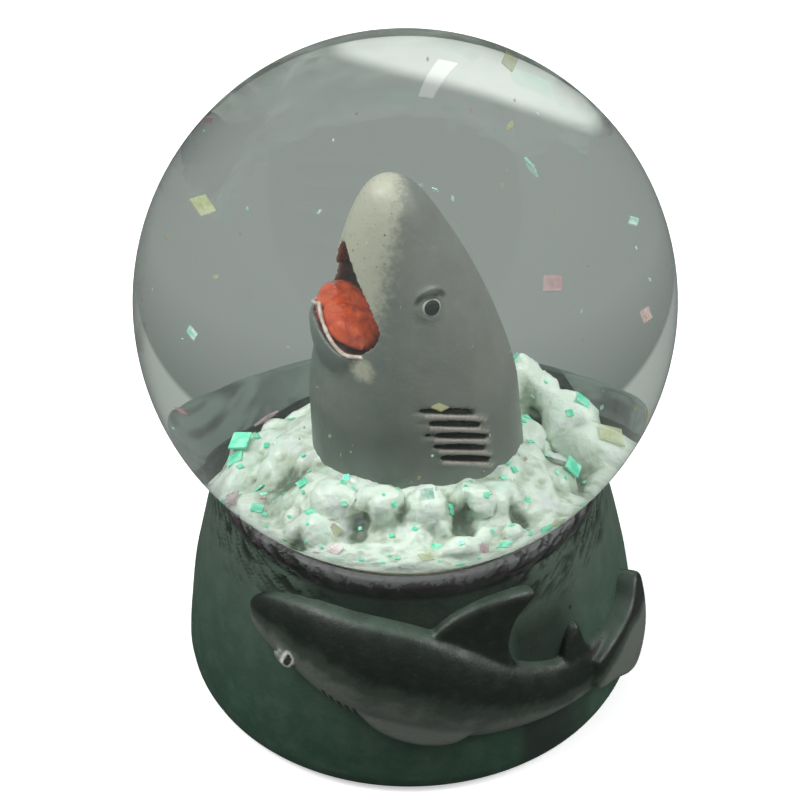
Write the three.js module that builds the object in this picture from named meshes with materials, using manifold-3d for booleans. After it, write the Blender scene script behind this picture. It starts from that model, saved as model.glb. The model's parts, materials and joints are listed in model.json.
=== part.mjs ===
// A water-filled souvenir snow globe: a glass ball on a flared resin base with a shark in relief on
// each side, and a shark's head that bursts out of sea foam inside the ball.
// Millimetres, +Z up. The origin is the middle of the underside, on the surface that it stands on.

import * as THREE from 'three';
import { mergeVertices } from 'three/addons/utils/BufferGeometryUtils.js';
import Module from 'manifold-3d';

const wasm = await Module();
wasm.setup();

// ---------- driving dimensions ----------

const GAP = 0.3; // clearance between pieces that touch
const ROUND = 36; // segments round the glass, base and liquid
const ARC_STEPS = 12; // segments from the neck to the top of the ball
const SEAT_STEPS = 3; // segments of the hollow that the ball rests in

// glass ball with its short open neck
const BALL_RADIUS = 32.5;
const BALL_HEIGHT = 55; // height of the ball's centre
const GLASS_WALL = 1.8;
const NECK_RADIUS = 20.3; // outside of the neck
const NECK_BORE = 18.9; // inside of the neck
const NECK_FOOT = 20; // height of the neck's lower lip

// resin base
const BASE_FOOT = 0.8; // height of the resin's bottom rim above the table
const FOOT_RADIUS = 29.4;
const SHOULDER_RADIUS = 24.3;
const SHOULDER_HEIGHT = 29;
const COLLAR_RADIUS = 24.6; // outside of the collar that rises from the shoulder round the ball
const COLLAR_TOP = 32.2;
const SOCKET_RADIUS = 21.5;
const SOCKET_FLOOR = 15.9;
const GLUE_TOP = 28.6;

// felt pad in a shallow recess under the base
const PAD_RADIUS = 27.4;
const PAD_THICKNESS = 1.2;

// rubber stopper in the neck
const FLANGE_RADIUS = 19.4;
const FLANGE_BOTTOM = 17.2;
const FLANGE_TOP = 19.7;
const PLUG_RADIUS = 18.2;
const RIB_RADIUS = 18.6;
const PLUG_TOP = 27;

// sea foam casting, which stands on the stopper
const FOAM_BOTTOM = 27.3;
const FOAM_RADIUS = 18;
const FOAM_TOP = 40.5;

// shark's head casting, which stands in the foam
const HEAD_BOTTOM = 32.5;
const HEAD_TOP = 70.6;
const HEAD_TURN = THREE.MathUtils.degToRad(12); // its belly side is turned this far to the front

// sharks in relief on the base
const RELIEF_RADIUS = 28; // radius at which their flat length is measured
const RELIEF_DEPTH = 3.2; // how far a body stands out from the wall
const RELIEF_GIRTH = 7; // half its greatest height
const RELIEF_SNOUT = -24; // where it starts along the wall
const RELIEF_TAIL = 36; // where it meets the tail fin
const BODY_STEPS = 14; // segments along it and round it
const BACK_SHARK_TURN = THREE.MathUtils.degToRad(170);
const BACK_TAIL_RISE = 7.6; // how much higher the back shark holds its tail

// glitter
const FLAKE_SIDE = 1.3;
const FLAKE_THICKNESS = 0.16;
const SETTLED_FLAKES = 12;
const DRIFTING_FLAKES = 12;
const GOLDEN_ANGLE = Math.PI * (3 - Math.sqrt(5));

// ---------- helpers ----------

const point = (x, y) => new THREE.Vector2(x, y);

// A turned piece. Its profile is [radius, height] points, counter-clockwise with the radius to the right.
function turned(profile, segments = ROUND) {
  const points = profile.map(([radius, height]) => point(radius, height));
  return new THREE.LatheGeometry(points, segments).rotateX(Math.PI / 2);
}

// Points along an arc about the ball's centre, between two heights.
function ballArc(radius, fromHeight, toHeight, steps) {
  const angleAt = (height) => Math.asin(Math.min(1, (height - BALL_HEIGHT) / radius));
  const from = angleAt(fromHeight);
  const to = angleAt(toHeight);
  return Array.from({ length: steps + 1 }, (_, i) => {
    const angle = from + ((to - from) * i) / steps;
    return [Math.max(0, radius * Math.cos(angle)), BALL_HEIGHT + radius * Math.sin(angle)];
  });
}

// The height at which a sphere about the ball's centre, below its middle, has a given radius.
const ballHeightAt = (radius, ringRadius) => BALL_HEIGHT - Math.sqrt(radius ** 2 - ringRadius ** 2);

// Smooth values between a few stations along a length.
function smooth(stations) {
  const places = stations.map(([place]) => place);
  const values = stations.map(([, value]) => value);
  const track = new THREE.CubicInterpolant(places, values, 1);
  return (place) => track.evaluate(place)[0];
}

// Moves every vertex of a geometry by a function.
function reshape(geometry, move) {
  const position = geometry.getAttribute('position');
  const vertex = new THREE.Vector3();
  for (let i = 0; i < position.count; i++) {
    move(vertex.fromBufferAttribute(position, i));
    position.setXYZ(i, vertex.x, vertex.y, vertex.z);
  }
  geometry.computeVertexNormals();
  return geometry;
}

// A closed geometry as a solid that can be cut and joined.
function solid(geometry) {
  const bare = new THREE.BufferGeometry();
  bare.setAttribute('position', geometry.getAttribute('position').clone());
  bare.setIndex(geometry.index);
  const merged = mergeVertices(bare, 1e-3);
  const corners = merged.index.array;
  const kept = [];
  for (let i = 0; i < corners.length; i += 3) {
    const [a, b, c] = corners.subarray(i, i + 3);
    if (a !== b && b !== c && c !== a) kept.push(a, b, c);
  }
  const vertProperties = merged.getAttribute('position').array;
  return new wasm.Manifold(new wasm.Mesh({ numProp: 3, vertProperties, triVerts: new Uint32Array(kept) }));
}

function fromSolid(shape) {
  const mesh = shape.getMesh();
  const geometry = new THREE.BufferGeometry();
  geometry.setAttribute('position', new THREE.BufferAttribute(new Float32Array(mesh.vertProperties), 3));
  geometry.setIndex(new THREE.BufferAttribute(new Uint32Array(mesh.triVerts), 1));
  geometry.computeVertexNormals();
  return geometry;
}

const join = (shapes) => shapes.reduce((whole, shape) => whole.add(shape));

const finish = (color, roughness, metalness = 0) =>
  new THREE.MeshStandardMaterial({ color, roughness, metalness });

const materials = {
  glass: finish('#e6f0ec', 0.03),
  liquid: finish('#d5e0da', 0.05),
  resin: finish('#48594d', 0.5),
  relief: finish('#2b382f', 0.45),
  sharkSkin: finish('#7b8079', 0.4),
  foam: finish('#cfdccb', 0.45),
  felt: finish('#1d211e', 1),
  rubber: finish('#2a2b2c', 0.8),
  sealant: finish('#d8d8d2', 0.5),
  glue: finish('#b9a988', 0.6),
  turquoise: finish('#86ecc9', 0.2, 0.6),
  pink: finish('#d99a9a', 0.2, 0.6),
  gold: finish('#cfcf86', 0.2, 0.6),
};

const globe = new THREE.Group();

function addPiece(name, geometry, material) {
  const mesh = new THREE.Mesh(geometry, material);
  mesh.name = name;
  globe.add(mesh);
  return mesh;
}

// ---------- base ----------

// The wall flares from the shoulder to the foot on one shallow curve.
const wallCurve = new THREE.QuadraticBezierCurve(
  point(FOOT_RADIUS, BASE_FOOT + 1.7),
  point(FOOT_RADIUS - 1, (SHOULDER_HEIGHT + BASE_FOOT) / 2),
  point(SHOULDER_RADIUS, SHOULDER_HEIGHT),
);

// The wall's radius at a height, found along that curve.
function wallRadius(height) {
  const points = wallCurve.getPoints(16);
  const inside = THREE.MathUtils.clamp(height, points[0].y, points[16].y);
  const above = Math.max(1, points.findIndex((place) => place.y >= inside));
  const low = points[above - 1];
  const high = points[above];
  return THREE.MathUtils.mapLinear(inside, low.y, high.y, low.x, high.x);
}

function baseProfile(inset = 0) {
  const wall = wallCurve.getPoints(8).map((place) => [place.x + inset, place.y]);
  return [
    [FOOT_RADIUS - 0.9 + inset, BASE_FOOT],
    [FOOT_RADIUS - 0.2 + inset, BASE_FOOT + 0.5],
    ...wall,
    [COLLAR_RADIUS + inset, COLLAR_TOP - 1.6],
    [COLLAR_RADIUS + inset, COLLAR_TOP - 0.6],
    [COLLAR_RADIUS - 0.5 + inset, COLLAR_TOP],
  ];
}

// Inside its collar the base is hollowed to the ball's own curve.
function baseCasting() {
  const recess = PAD_THICKNESS + GAP;
  const seat = BALL_RADIUS + GAP;
  return turned([
    [0, recess],
    [PAD_RADIUS + GAP, recess],
    [PAD_RADIUS + GAP, BASE_FOOT],
    ...baseProfile(),
    ...ballArc(seat, ballHeightAt(seat, SOCKET_RADIUS), COLLAR_TOP, SEAT_STEPS).reverse(),
    [SOCKET_RADIUS, SOCKET_FLOOR],
    [0, SOCKET_FLOOR],
  ]);
}

addPiece('base_casting', baseCasting(), materials.resin);

const padProfile = [[0, 0], [PAD_RADIUS - 0.3, 0], [PAD_RADIUS, PAD_THICKNESS], [0, PAD_THICKNESS]];
addPiece('felt_pad', turned(padProfile), materials.felt);

// ---------- sharks in relief ----------

// A relief is drawn flat, with x along the wall, y up the wall and z out of it, and wrapped on.
function wrapOnWall(geometry, turn) {
  return reshape(geometry, (vertex) => {
    const angle = vertex.x / RELIEF_RADIUS + turn;
    const radius = wallRadius(vertex.y) + vertex.z;
    vertex.set(radius * Math.sin(angle), -radius * Math.cos(angle), vertex.y);
  });
}

// Half the body's height along its length, from the snout to the root of the tail.
const girth = smooth([[RELIEF_SNOUT, 0.2], [-21.5, 2.2], [-15, 4.6], [-8, 6.5], [0, RELIEF_GIRTH], [6, 6.6],
  [12, 5], [18, 3.6], [25, 2.7], [RELIEF_TAIL, 1.6]]);

// A rounded body, swept along its spine and pressed flat to the relief's depth.
function reliefBody(spine) {
  const lengths = Array.from({ length: BODY_STEPS + 1 },
    (_, i) => THREE.MathUtils.lerp(RELIEF_SNOUT, RELIEF_TAIL, i / BODY_STEPS));
  const profile = [[0, RELIEF_SNOUT], ...lengths.map((x) => [girth(x), x]), [0, RELIEF_TAIL]];
  const points = profile.map(([radius, x]) => point(radius, x));
  const lathe = new THREE.LatheGeometry(points, BODY_STEPS).rotateZ(-Math.PI / 2);
  return reshape(lathe, (vertex) => {
    vertex.y += spine(vertex.x);
    vertex.z *= RELIEF_DEPTH / RELIEF_GIRTH;
  });
}

// A fin: a flat outline with a thickness, rooted just under the wall's surface.
function reliefFin(outline, thickness) {
  const shape = new THREE.Shape();
  shape.moveTo(...outline[0]);
  shape.splineThru(outline.slice(1).map(([x, y]) => point(x, y)));
  const options = { depth: thickness + 1, bevelEnabled: false, curveSegments: 4 };
  return new THREE.ExtrudeGeometry(shape, options).translate(0, 0, -1);
}

// One shark. A raised tail bends the rear of the spine up and lifts the fins on it.
function sideShark(turn, tailRise) {
  const spine = smooth([[RELIEF_SNOUT, 22], [-15, 22.2], [-8, 20.5], [0, 18.8], [6, 16.6],
    [12, 14 + tailRise * 0.2], [18, 12 + tailRise * 0.45], [25, 11 + tailRise * 0.75],
    [RELIEF_TAIL, 10.4 + tailRise]]);
  const dorsal = [[-2, 21], [5, 26.6], [12, 28], [17.4, 26.9], [14, 24.6], [12.4, 21.4], [12, 16]];
  const secondDorsal = [[19, 12], [20.6, 16.6], [23, 19], [24, 15.6], [25.6, 11]];
  const pectoral = [[-7, 15.5], [-4, 12], [0.6, 9.6], [5, 9.8], [6, 13]];
  const tail = [[32, 10.4], [35, 12.6], [38, 16.4], [37.6, 10.8], [37.2, 4.6], [34.6, 8]];
  const lifted = (outline, rise) => outline.map(([x, y]) => [x, y + rise]);
  const pieces = [
    reliefBody(spine),
    reliefFin(dorsal, 1.7),
    reliefFin(lifted(secondDorsal, tailRise * 0.65), 1.3),
    reliefFin(pectoral, 2.6),
    reliefFin(lifted(tail, tailRise), 2.9),
  ];
  const whole = join(pieces.map((piece) => solid(wrapOnWall(piece, turn))));
  const wall = solid(turned([[0, -2], [FOOT_RADIUS + GAP, -2], ...baseProfile(GAP), [0, COLLAR_TOP]]));
  return fromSolid(whole.subtract(wall));
}

addPiece('side_shark_front', sideShark(0, 0), materials.relief);
addPiece('side_shark_back', sideShark(BACK_SHARK_TURN, BACK_TAIL_RISE), materials.relief);

// ---------- glass, stopper and seals ----------

function glassGlobe() {
  const inner = BALL_RADIUS - GLASS_WALL;
  const top = BALL_HEIGHT + BALL_RADIUS;
  const outside = ballArc(BALL_RADIUS, ballHeightAt(BALL_RADIUS, NECK_RADIUS), top, ARC_STEPS);
  const inside = ballArc(inner, ballHeightAt(inner, NECK_BORE), top - GLASS_WALL, ARC_STEPS);
  return turned([[NECK_BORE, NECK_FOOT], [NECK_RADIUS, NECK_FOOT], ...outside, ...inside.reverse(),
    [NECK_BORE, NECK_FOOT]]);
}

addPiece('globe_glass', glassGlobe(), materials.glass);

// The stopper's plug has two ribs that press on the bore of the neck.
function stopper() {
  const rib = (height) => [
    [PLUG_RADIUS, height - 0.8],
    [RIB_RADIUS, height - 0.3],
    [RIB_RADIUS, height + 0.3],
    [PLUG_RADIUS, height + 0.8],
  ];
  return turned([
    [0, FLANGE_BOTTOM],
    [FLANGE_RADIUS - 0.4, FLANGE_BOTTOM],
    [FLANGE_RADIUS, FLANGE_BOTTOM + 0.4],
    [FLANGE_RADIUS, FLANGE_TOP],
    [PLUG_RADIUS, FLANGE_TOP],
    ...rib(22.5),
    ...rib(25),
    [PLUG_RADIUS, PLUG_TOP - 0.4],
    [PLUG_RADIUS - 0.4, PLUG_TOP],
    [0, PLUG_TOP],
  ]);
}

addPiece('stopper', stopper(), materials.rubber);

// A bead of sealant fills the corner between the stopper's flange and the neck's lip.
const beadInner = FLANGE_RADIUS + GAP;
const beadOuter = beadInner + 0.6;
addPiece('sealant_bead', turned([
  [beadInner, FLANGE_BOTTOM + 0.4],
  [beadOuter, FLANGE_BOTTOM + 0.9],
  [beadOuter, FLANGE_TOP - 0.2],
  [beadInner, FLANGE_TOP],
  [beadInner, FLANGE_BOTTOM + 0.4],
]), materials.sealant);

// The glue holds the neck in the socket: a cup of compound, with a floor and a thin wall.
const glueOuter = SOCKET_RADIUS - GAP;
const glueInner = NECK_RADIUS + GAP;
addPiece('bedding_glue', turned([
  [0, SOCKET_FLOOR + GAP],
  [glueOuter, SOCKET_FLOOR + GAP],
  [glueOuter, GLUE_TOP],
  [glueInner, GLUE_TOP - 0.2],
  [glueInner, FLANGE_BOTTOM - GAP],
  [0, FLANGE_BOTTOM - GAP],
]), materials.glue);

// ---------- shark's head ----------

// The centre of the head leans back as it rises, so the snout ends over the belly side.
const headLean = smooth([[HEAD_BOTTOM, 1.1], [45, 0.6], [60, -0.1], [HEAD_TOP, -0.9]]);

// An egg-shaped solid at a place, used for the jaw, the mouth and the eyes.
function egg(radii, place, tilt = 0, segments = 12) {
  return solid(new THREE.SphereGeometry(1, segments, segments / 2)
    .scale(...radii)
    .rotateY(tilt)
    .translate(...place));
}

// The head's own frame has the back at +X and the side of the head at -Y. It is grown all round by
// the clearance that a neighbour keeps.
function headBody(grow = 0) {
  const outline = new THREE.SplineCurve([
    point(0, HEAD_TOP + grow),
    point(2.4 + grow, HEAD_TOP - 1),
    point(4.95 + grow, 64.6),
    point(7.5 + grow, 55),
    point(8.75 + grow, 45),
    point(8.3 + grow, HEAD_BOTTOM - grow),
  ]);
  const side = outline.getPoints(11).map((place) => [Math.max(0, place.x), place.y]);
  const loft = turned([[0, HEAD_BOTTOM - grow], ...side.reverse()], 22);
  return solid(reshape(loft, (vertex) => {
    vertex.x += headLean(vertex.z);
    vertex.y *= 0.96;
  }));
}

// The head with its lower jaw and both eyes, before the mouth and the gill slots are cut.
function headForm(grow = 0) {
  const jaw = egg([2.9 + grow, 4.9 + grow, 5 + grow], [-5.4, 0, 52.2], -0.12);
  const eyes = [-1, 1].map((side) => egg([1 + grow, 0.7 + grow, 1 + grow], [1.2, side * 6, 59.5], 0, 8));
  return join([headBody(grow), jaw, ...eyes]);
}

const headPlace = new THREE.Matrix4().makeRotationZ(HEAD_TURN);

function sharkHead() {
  const mouth = egg([3.6, 4.7, 4.5], [-7.6, 0, 58.9], 0.35);
  const slots = [];
  for (let i = 0; i < 5; i++) {
    const length = 5.4 - i * 0.2;
    const slot = new THREE.BoxGeometry(length, 20, 0.55);
    slots.push(solid(slot.translate(4.2 + i * 0.35, 0, 48.4 - i * 1.35)));
  }
  // The slots only break the skin: a slimmer core puts the inside of the head back.
  const skin = headForm().subtract(join(slots));
  return fromSolid(skin.add(headBody(-0.6)).subtract(mouth)).applyMatrix4(headPlace);
}

addPiece('shark_head', sharkHead(), materials.sharkSkin);

// ---------- sea foam ----------

// Lumps of foam, as waves round the axis, that fade out at the rim.
function foamLumps(x, y) {
  const angle = Math.atan2(y, x);
  const radius = Math.hypot(x, y);
  const swell = Math.sin(5 * angle + 0.6) * Math.sin(radius * 0.7) + 0.6 * Math.sin(9 * angle + radius);
  return swell * THREE.MathUtils.smoothstep(FOAM_RADIUS - radius, 0, 4);
}

function foamBody(grow = 0) {
  const mound = new THREE.SplineCurve([
    point(FOAM_RADIUS, 32.2),
    point(FOAM_RADIUS - 1.6, 34.6),
    point(13.4, 36.8),
    point(10.4, FOAM_TOP - 0.8),
    point(7.5, FOAM_TOP),
  ]);
  const rise = mound.getPoints(7).map((place) => [place.x + grow, place.y + grow]);
  const profile = [
    [0, FOAM_BOTTOM - grow],
    [FOAM_RADIUS - 0.5 + grow, FOAM_BOTTOM - grow],
    [FOAM_RADIUS + grow, FOAM_BOTTOM + 0.8],
    ...rise,
    [0, FOAM_TOP + grow],
  ];
  const body = reshape(turned(profile, 30), (vertex) => {
    if (vertex.z > 33) vertex.z += foamLumps(vertex.x, vertex.y) * 0.8;
  });
  const crest = (x, y, z, size) => egg([size + grow, size + grow, size + grow], [x, y, z], 0, 8);
  const crests = [
    crest(9.6, 10.4, 37.8, 3.1),
    crest(13.6, 6.6, 35.4, 3),
    crest(5.2, 12.8, 37, 2.6),
    crest(-12.4, 5.6, 35, 2.6),
    crest(-8.4, -9.6, 36, 2.7),
    crest(4.6, -12.6, 35.2, 2.5),
  ];
  return join([solid(body), ...crests]);
}

function placedHead(grow) {
  return solid(fromSolid(headForm(grow)).applyMatrix4(headPlace));
}

const foam = fromSolid(foamBody().subtract(placedHead(GAP)));
addPiece('foam_insert', foam, materials.foam);

// ---------- glitter ----------

const flakeColours = [materials.turquoise, materials.pink, materials.gold];
const flakeShape = new THREE.BoxGeometry(FLAKE_SIDE, FLAKE_SIDE, FLAKE_THICKNESS);
const foamMesh = new THREE.Mesh(foam, new THREE.MeshBasicMaterial({ side: THREE.DoubleSide }));

// A settled flake lies on the foam: it is dropped on it and takes its slope.
function settledFlake(index) {
  const angle = index * GOLDEN_ANGLE;
  const radius = 12.6 + 3.4 * ((index * 0.37) % 1);
  const above = new THREE.Vector3(radius * Math.cos(angle), radius * Math.sin(angle), 60);
  const drop = new THREE.Raycaster(above, new THREE.Vector3(0, 0, -1));
  const [hit] = drop.intersectObject(foamMesh);
  const up = new THREE.Vector3(0, 0, 1);
  const slope = new THREE.Quaternion().setFromUnitVectors(up, hit.face.normal);
  const place = hit.point.clone().addScaledVector(hit.face.normal, 0.75);
  return flakeShape.clone().rotateZ(index).applyQuaternion(slope).translate(place.x, place.y, place.z);
}

// Drifting flakes hang in the liquid, spread evenly round it, outside the widest part of the foam.
function driftingPlace(index) {
  const share = (index + 0.5) / DRIFTING_FLAKES;
  const angle = index * GOLDEN_ANGLE * 2.1 + 1;
  const radius = 20.5 + 4.5 * ((index * 0.61) % 1);
  const place = new THREE.Vector3(radius * Math.cos(angle), radius * Math.sin(angle), 42 + 26 * share);
  return { place, angle };
}

function driftingFlake(index) {
  const { place } = driftingPlace(index);
  const flake = flakeShape.clone().rotateX(0.5 + index * 0.8).rotateZ(index * 1.7);
  return flake.translate(place.x, place.y, place.z);
}

const settled = [];
for (let i = 0; i < SETTLED_FLAKES; i++) {
  const number = String(i + 1).padStart(2, '0');
  settled.push(addPiece(`settled_flake_${number}`, settledFlake(i), flakeColours[i % 3]));
}
for (let i = 0; i < DRIFTING_FLAKES; i++) {
  const number = String(i + 1).padStart(2, '0');
  addPiece(`drifting_flake_${number}`, driftingFlake(i), flakeColours[(i + 1) % 3]);
}

// ---------- liquid ----------

// The liquid fills the ball round the head and the foam. A flake that drifts in it has a short
// channel out to the glass, so that no hollow is sealed.
function liquidFill() {
  const radius = BALL_RADIUS - GLASS_WALL - GAP;
  const bottom = 31.6;
  const shell = ballArc(radius, bottom, BALL_HEIGHT + radius, ARC_STEPS);
  const body = solid(turned([[0, bottom], ...shell]));
  const channelWidth = FLAKE_SIDE * 1.42 + 2 * GAP;
  const channels = [];
  for (let i = 0; i < DRIFTING_FLAKES; i++) {
    const { place, angle } = driftingPlace(i);
    const inner = Math.hypot(place.x, place.y) - channelWidth / 2;
    const length = BALL_RADIUS - inner;
    const channel = new THREE.BoxGeometry(length, channelWidth, channelWidth);
    channels.push(solid(channel.translate(inner + length / 2, 0, place.z).rotateZ(angle)));
  }
  const notches = settled.map((flake) => {
    const centre = new THREE.Box3().setFromObject(flake).getCenter(new THREE.Vector3());
    const notch = new THREE.BoxGeometry(channelWidth, channelWidth, channelWidth);
    return solid(notch.translate(centre.x, centre.y, centre.z));
  });
  const figure = foamBody(GAP).add(placedHead(GAP));
  return fromSolid(body.subtract(join([figure, ...channels, ...notches])));
}

addPiece('liquid_fill', liquidFill(), materials.liquid);

export default globe;
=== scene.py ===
# %% [markdown]
# # A shark snow globe
# This lesson dresses the plain CAD model of a water-filled snow globe: a glass ball on a flared resin
# base. A shark's head breaks out of painted sea foam inside the ball, and a shark swims in relief on
# each side of the base. The CAD model gives every size and place, so it is loaded first and each new
# piece is built around it. Its box is kept now, to be printed beside the finished model's at the end.

import bisect
import json
import math
import random

import bmesh
import bpy
from mathutils import Matrix, Vector, noise
from mathutils.bvhtree import BVHTree


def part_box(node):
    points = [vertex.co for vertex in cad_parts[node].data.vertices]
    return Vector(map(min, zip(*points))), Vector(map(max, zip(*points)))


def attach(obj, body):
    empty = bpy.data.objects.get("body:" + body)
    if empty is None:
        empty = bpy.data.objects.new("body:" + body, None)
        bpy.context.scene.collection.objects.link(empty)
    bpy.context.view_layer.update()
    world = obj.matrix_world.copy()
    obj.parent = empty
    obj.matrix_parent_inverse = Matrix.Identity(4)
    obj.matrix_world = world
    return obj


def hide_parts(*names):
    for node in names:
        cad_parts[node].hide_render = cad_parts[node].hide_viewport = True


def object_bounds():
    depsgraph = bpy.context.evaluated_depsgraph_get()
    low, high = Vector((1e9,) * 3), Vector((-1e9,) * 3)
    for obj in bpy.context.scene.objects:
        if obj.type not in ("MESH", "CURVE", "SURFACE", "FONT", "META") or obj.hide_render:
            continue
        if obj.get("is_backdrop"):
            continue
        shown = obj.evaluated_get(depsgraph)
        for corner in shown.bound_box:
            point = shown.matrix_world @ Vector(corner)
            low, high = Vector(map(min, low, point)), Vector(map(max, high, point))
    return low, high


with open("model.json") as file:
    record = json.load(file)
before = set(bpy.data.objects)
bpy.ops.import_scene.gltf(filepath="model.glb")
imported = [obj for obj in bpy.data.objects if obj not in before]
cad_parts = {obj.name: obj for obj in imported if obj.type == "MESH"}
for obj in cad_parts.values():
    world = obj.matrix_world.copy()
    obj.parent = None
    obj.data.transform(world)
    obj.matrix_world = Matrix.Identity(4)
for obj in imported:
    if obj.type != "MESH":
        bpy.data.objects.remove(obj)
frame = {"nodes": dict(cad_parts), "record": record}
cad_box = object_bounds()
scene = bpy.context.scene

# %% [markdown]
# ## Driving dimensions
# Pieces are shaped in millimetres, because that is how such a small thing is measured, and each is
# brought to metres when it is finished. The few dimensions that several pieces share stand here. They
# are the CAD model's, so that the pieces fit each other, and so is the gap between pieces that touch.

# %% Dimensions in millimetres
MM = 0.001

BALL_RADIUS = 32.5
BALL_HEIGHT = 55.0
GLASS_WALL = 1.8
NECK_RADIUS = 20.3
NECK_BORE = 18.9
NECK_FOOT = 20.0

FOOT_RADIUS = 29.4
FOOT_HEIGHT = 2.5
SHOULDER_RADIUS = 24.3
SHOULDER_HEIGHT = 29.0
COLLAR_RADIUS = 24.6
COLLAR_TOP = 32.2
SOCKET_RADIUS = 21.5
SOCKET_FLOOR = 15.9
PAD_RADIUS = 27.4
PAD_THICKNESS = 1.2

FOAM_BOTTOM = 27.3
FOAM_RADIUS = 18.0
HEAD_TURN = math.radians(12)
GAP = 0.3


def node_box(node):
    """A CAD node's lowest and highest corners, in millimetres."""
    low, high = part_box(node)
    return Vector(low) / MM, Vector(high) / MM


print("glass ball measured in the CAD model:", [round(v, 1) for v in node_box("globe_glass")[1]])

# %% [markdown]
# ## Curves, helpers for shapes
# Most pieces of a snow globe are turned or cast. A turned piece is an outline spun round the axis. A
# cast piece, such as the head, is sculpted from overlapping lumps that are fused with a voxel remesh,
# as clay is pressed together, and then smoothed. These helpers hold those steps, so that each piece
# below only says what is special about it.


# %% Helpers for outlines
def smoothstep(low, high, value):
    """0 below low, 1 above high, and a smooth change between them."""
    share = min(1.0, max(0.0, (value - low) / (high - low)))
    return share * share * (3 - 2 * share)


def curve_through(points, steps=6):
    """Points along a smooth curve through a few places."""
    ends = [points[0], *points, points[-1]]
    spans = zip(ends, ends[1:], ends[2:], ends[3:])
    path = []
    for before, start, end, after in spans:
        for i in range(steps):
            t = i / steps
            path.append(tuple(
                0.5 * (2 * b + (c - a) * t + (2 * a - 5 * b + 4 * c - d) * t * t
                       + (3 * b - a - 3 * c + d) * t ** 3)
                for a, b, c, d in zip(before, start, end, after)))
    return path + [tuple(points[-1])]


def between(stations):
    """A function that gives smooth values between a few stations of (place, value)."""
    places = [place for place, _ in stations]
    values = [value for _, value in stations]
    slopes = []
    for i in range(len(places)):
        low, high = max(0, i - 1), min(len(places) - 1, i + 1)
        slopes.append((values[high] - values[low]) / (places[high] - places[low]))

    def value(place):
        place = min(max(place, places[0]), places[-1])
        i = min(len(places) - 2, bisect.bisect_right(places, place) - 1)
        width = places[i + 1] - places[i]
        t = (place - places[i]) / width
        return ((2 * t ** 3 - 3 * t * t + 1) * values[i] + (t ** 3 - 2 * t * t + t) * width * slopes[i]
                + (3 * t * t - 2 * t ** 3) * values[i + 1] + (t ** 3 - t * t) * width * slopes[i + 1])

    return value


def arc(radius, start, end, steps, centre=(0.0, BALL_HEIGHT)):
    """Points (radius, height) on an arc, from one angle to another, in degrees above the middle."""
    turns = [math.radians(start + (end - start) * i / steps) for i in range(steps + 1)]
    return [(centre[0] + radius * math.cos(turn), centre[1] + radius * math.sin(turn)) for turn in turns]


# %% Helpers for meshes
def turned(outline, steps=192):
    """Spins an outline of (radius, height) points round the axis."""
    shape = bmesh.new()
    corners = [shape.verts.new((max(0.0, radius), 0, height)) for radius, height in outline]
    edges = [shape.edges.new(pair) for pair in zip(corners, corners[1:])]
    bmesh.ops.spin(shape, geom=corners + edges, axis=(0, 0, 1), cent=(0, 0, 0), steps=steps,
                   angle=2 * math.pi, use_merge=True)
    bmesh.ops.remove_doubles(shape, verts=shape.verts, dist=0.001)
    bmesh.ops.recalc_face_normals(shape, faces=shape.faces)
    return shape


def add_egg(shape, radii, place, turn=Matrix(), segments=32):
    """Adds a closed egg shape with three radii to a bmesh."""
    where = Matrix.Translation(place) @ turn @ Matrix.Diagonal((*radii, 1))
    bmesh.ops.create_uvsphere(shape, u_segments=segments, v_segments=segments // 2, radius=1, matrix=where)


def as_mesh(shape, name):
    """Turns a bmesh into a mesh and frees it."""
    mesh = bpy.data.meshes.new(name)
    shape.to_mesh(mesh)
    shape.free()
    return mesh


def as_object(mesh):
    """Puts a mesh into the scene as an object of the same name."""
    holder = bpy.data.objects.new(mesh.name, mesh)
    scene.collection.objects.link(holder)
    return holder


def through_modifiers(shape, steps, partner=None):
    """Runs modifiers over a bmesh and returns the result as a new bmesh."""
    mesh = as_mesh(shape, "rough shape")
    rough = as_object(mesh)
    for kind, settings in steps:
        modifier = rough.modifiers.new(kind.title(), kind)
        for name, value in settings.items():
            setattr(modifier, name, value)
        if kind == "BOOLEAN":
            modifier.object = partner
    result = bmesh.new()
    result.from_object(rough, bpy.context.evaluated_depsgraph_get())
    bpy.data.objects.remove(rough)
    bpy.data.meshes.remove(mesh)
    return result


def smoothed(shape, times):
    """Draws each vertex halfway to its neighbours, a few times over."""
    for _ in range(times):
        bmesh.ops.smooth_vert(shape, verts=shape.verts, factor=0.5, use_axis_x=True, use_axis_y=True,
                              use_axis_z=True)


def fused(shape, voxel, smoothing=2):
    """Melts overlapping lumps into one skin of even faces, and smooths it."""
    whole = through_modifiers(shape, [("REMESH", {"mode": "VOXEL", "voxel_size": voxel})])
    smoothed(whole, smoothing)
    whole.normal_update()
    return whole


def carved(shape, cutter):
    """Cuts one bmesh out of another and frees the cutter."""
    mesh = as_mesh(cutter, "cutter")
    tool = as_object(mesh)
    cut = {"operation": "DIFFERENCE", "solver": "EXACT", "use_self": True}
    result = through_modifiers(shape, [("BOOLEAN", cut)], tool)
    bpy.data.objects.remove(tool)
    bpy.data.meshes.remove(mesh)
    return result


def stored(zones):
    """Rules that look up values worked out before a shape was moved."""
    return {zone: (lambda vertex, numbers=numbers: numbers[vertex.index]) for zone, numbers in zones.items()}


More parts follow.
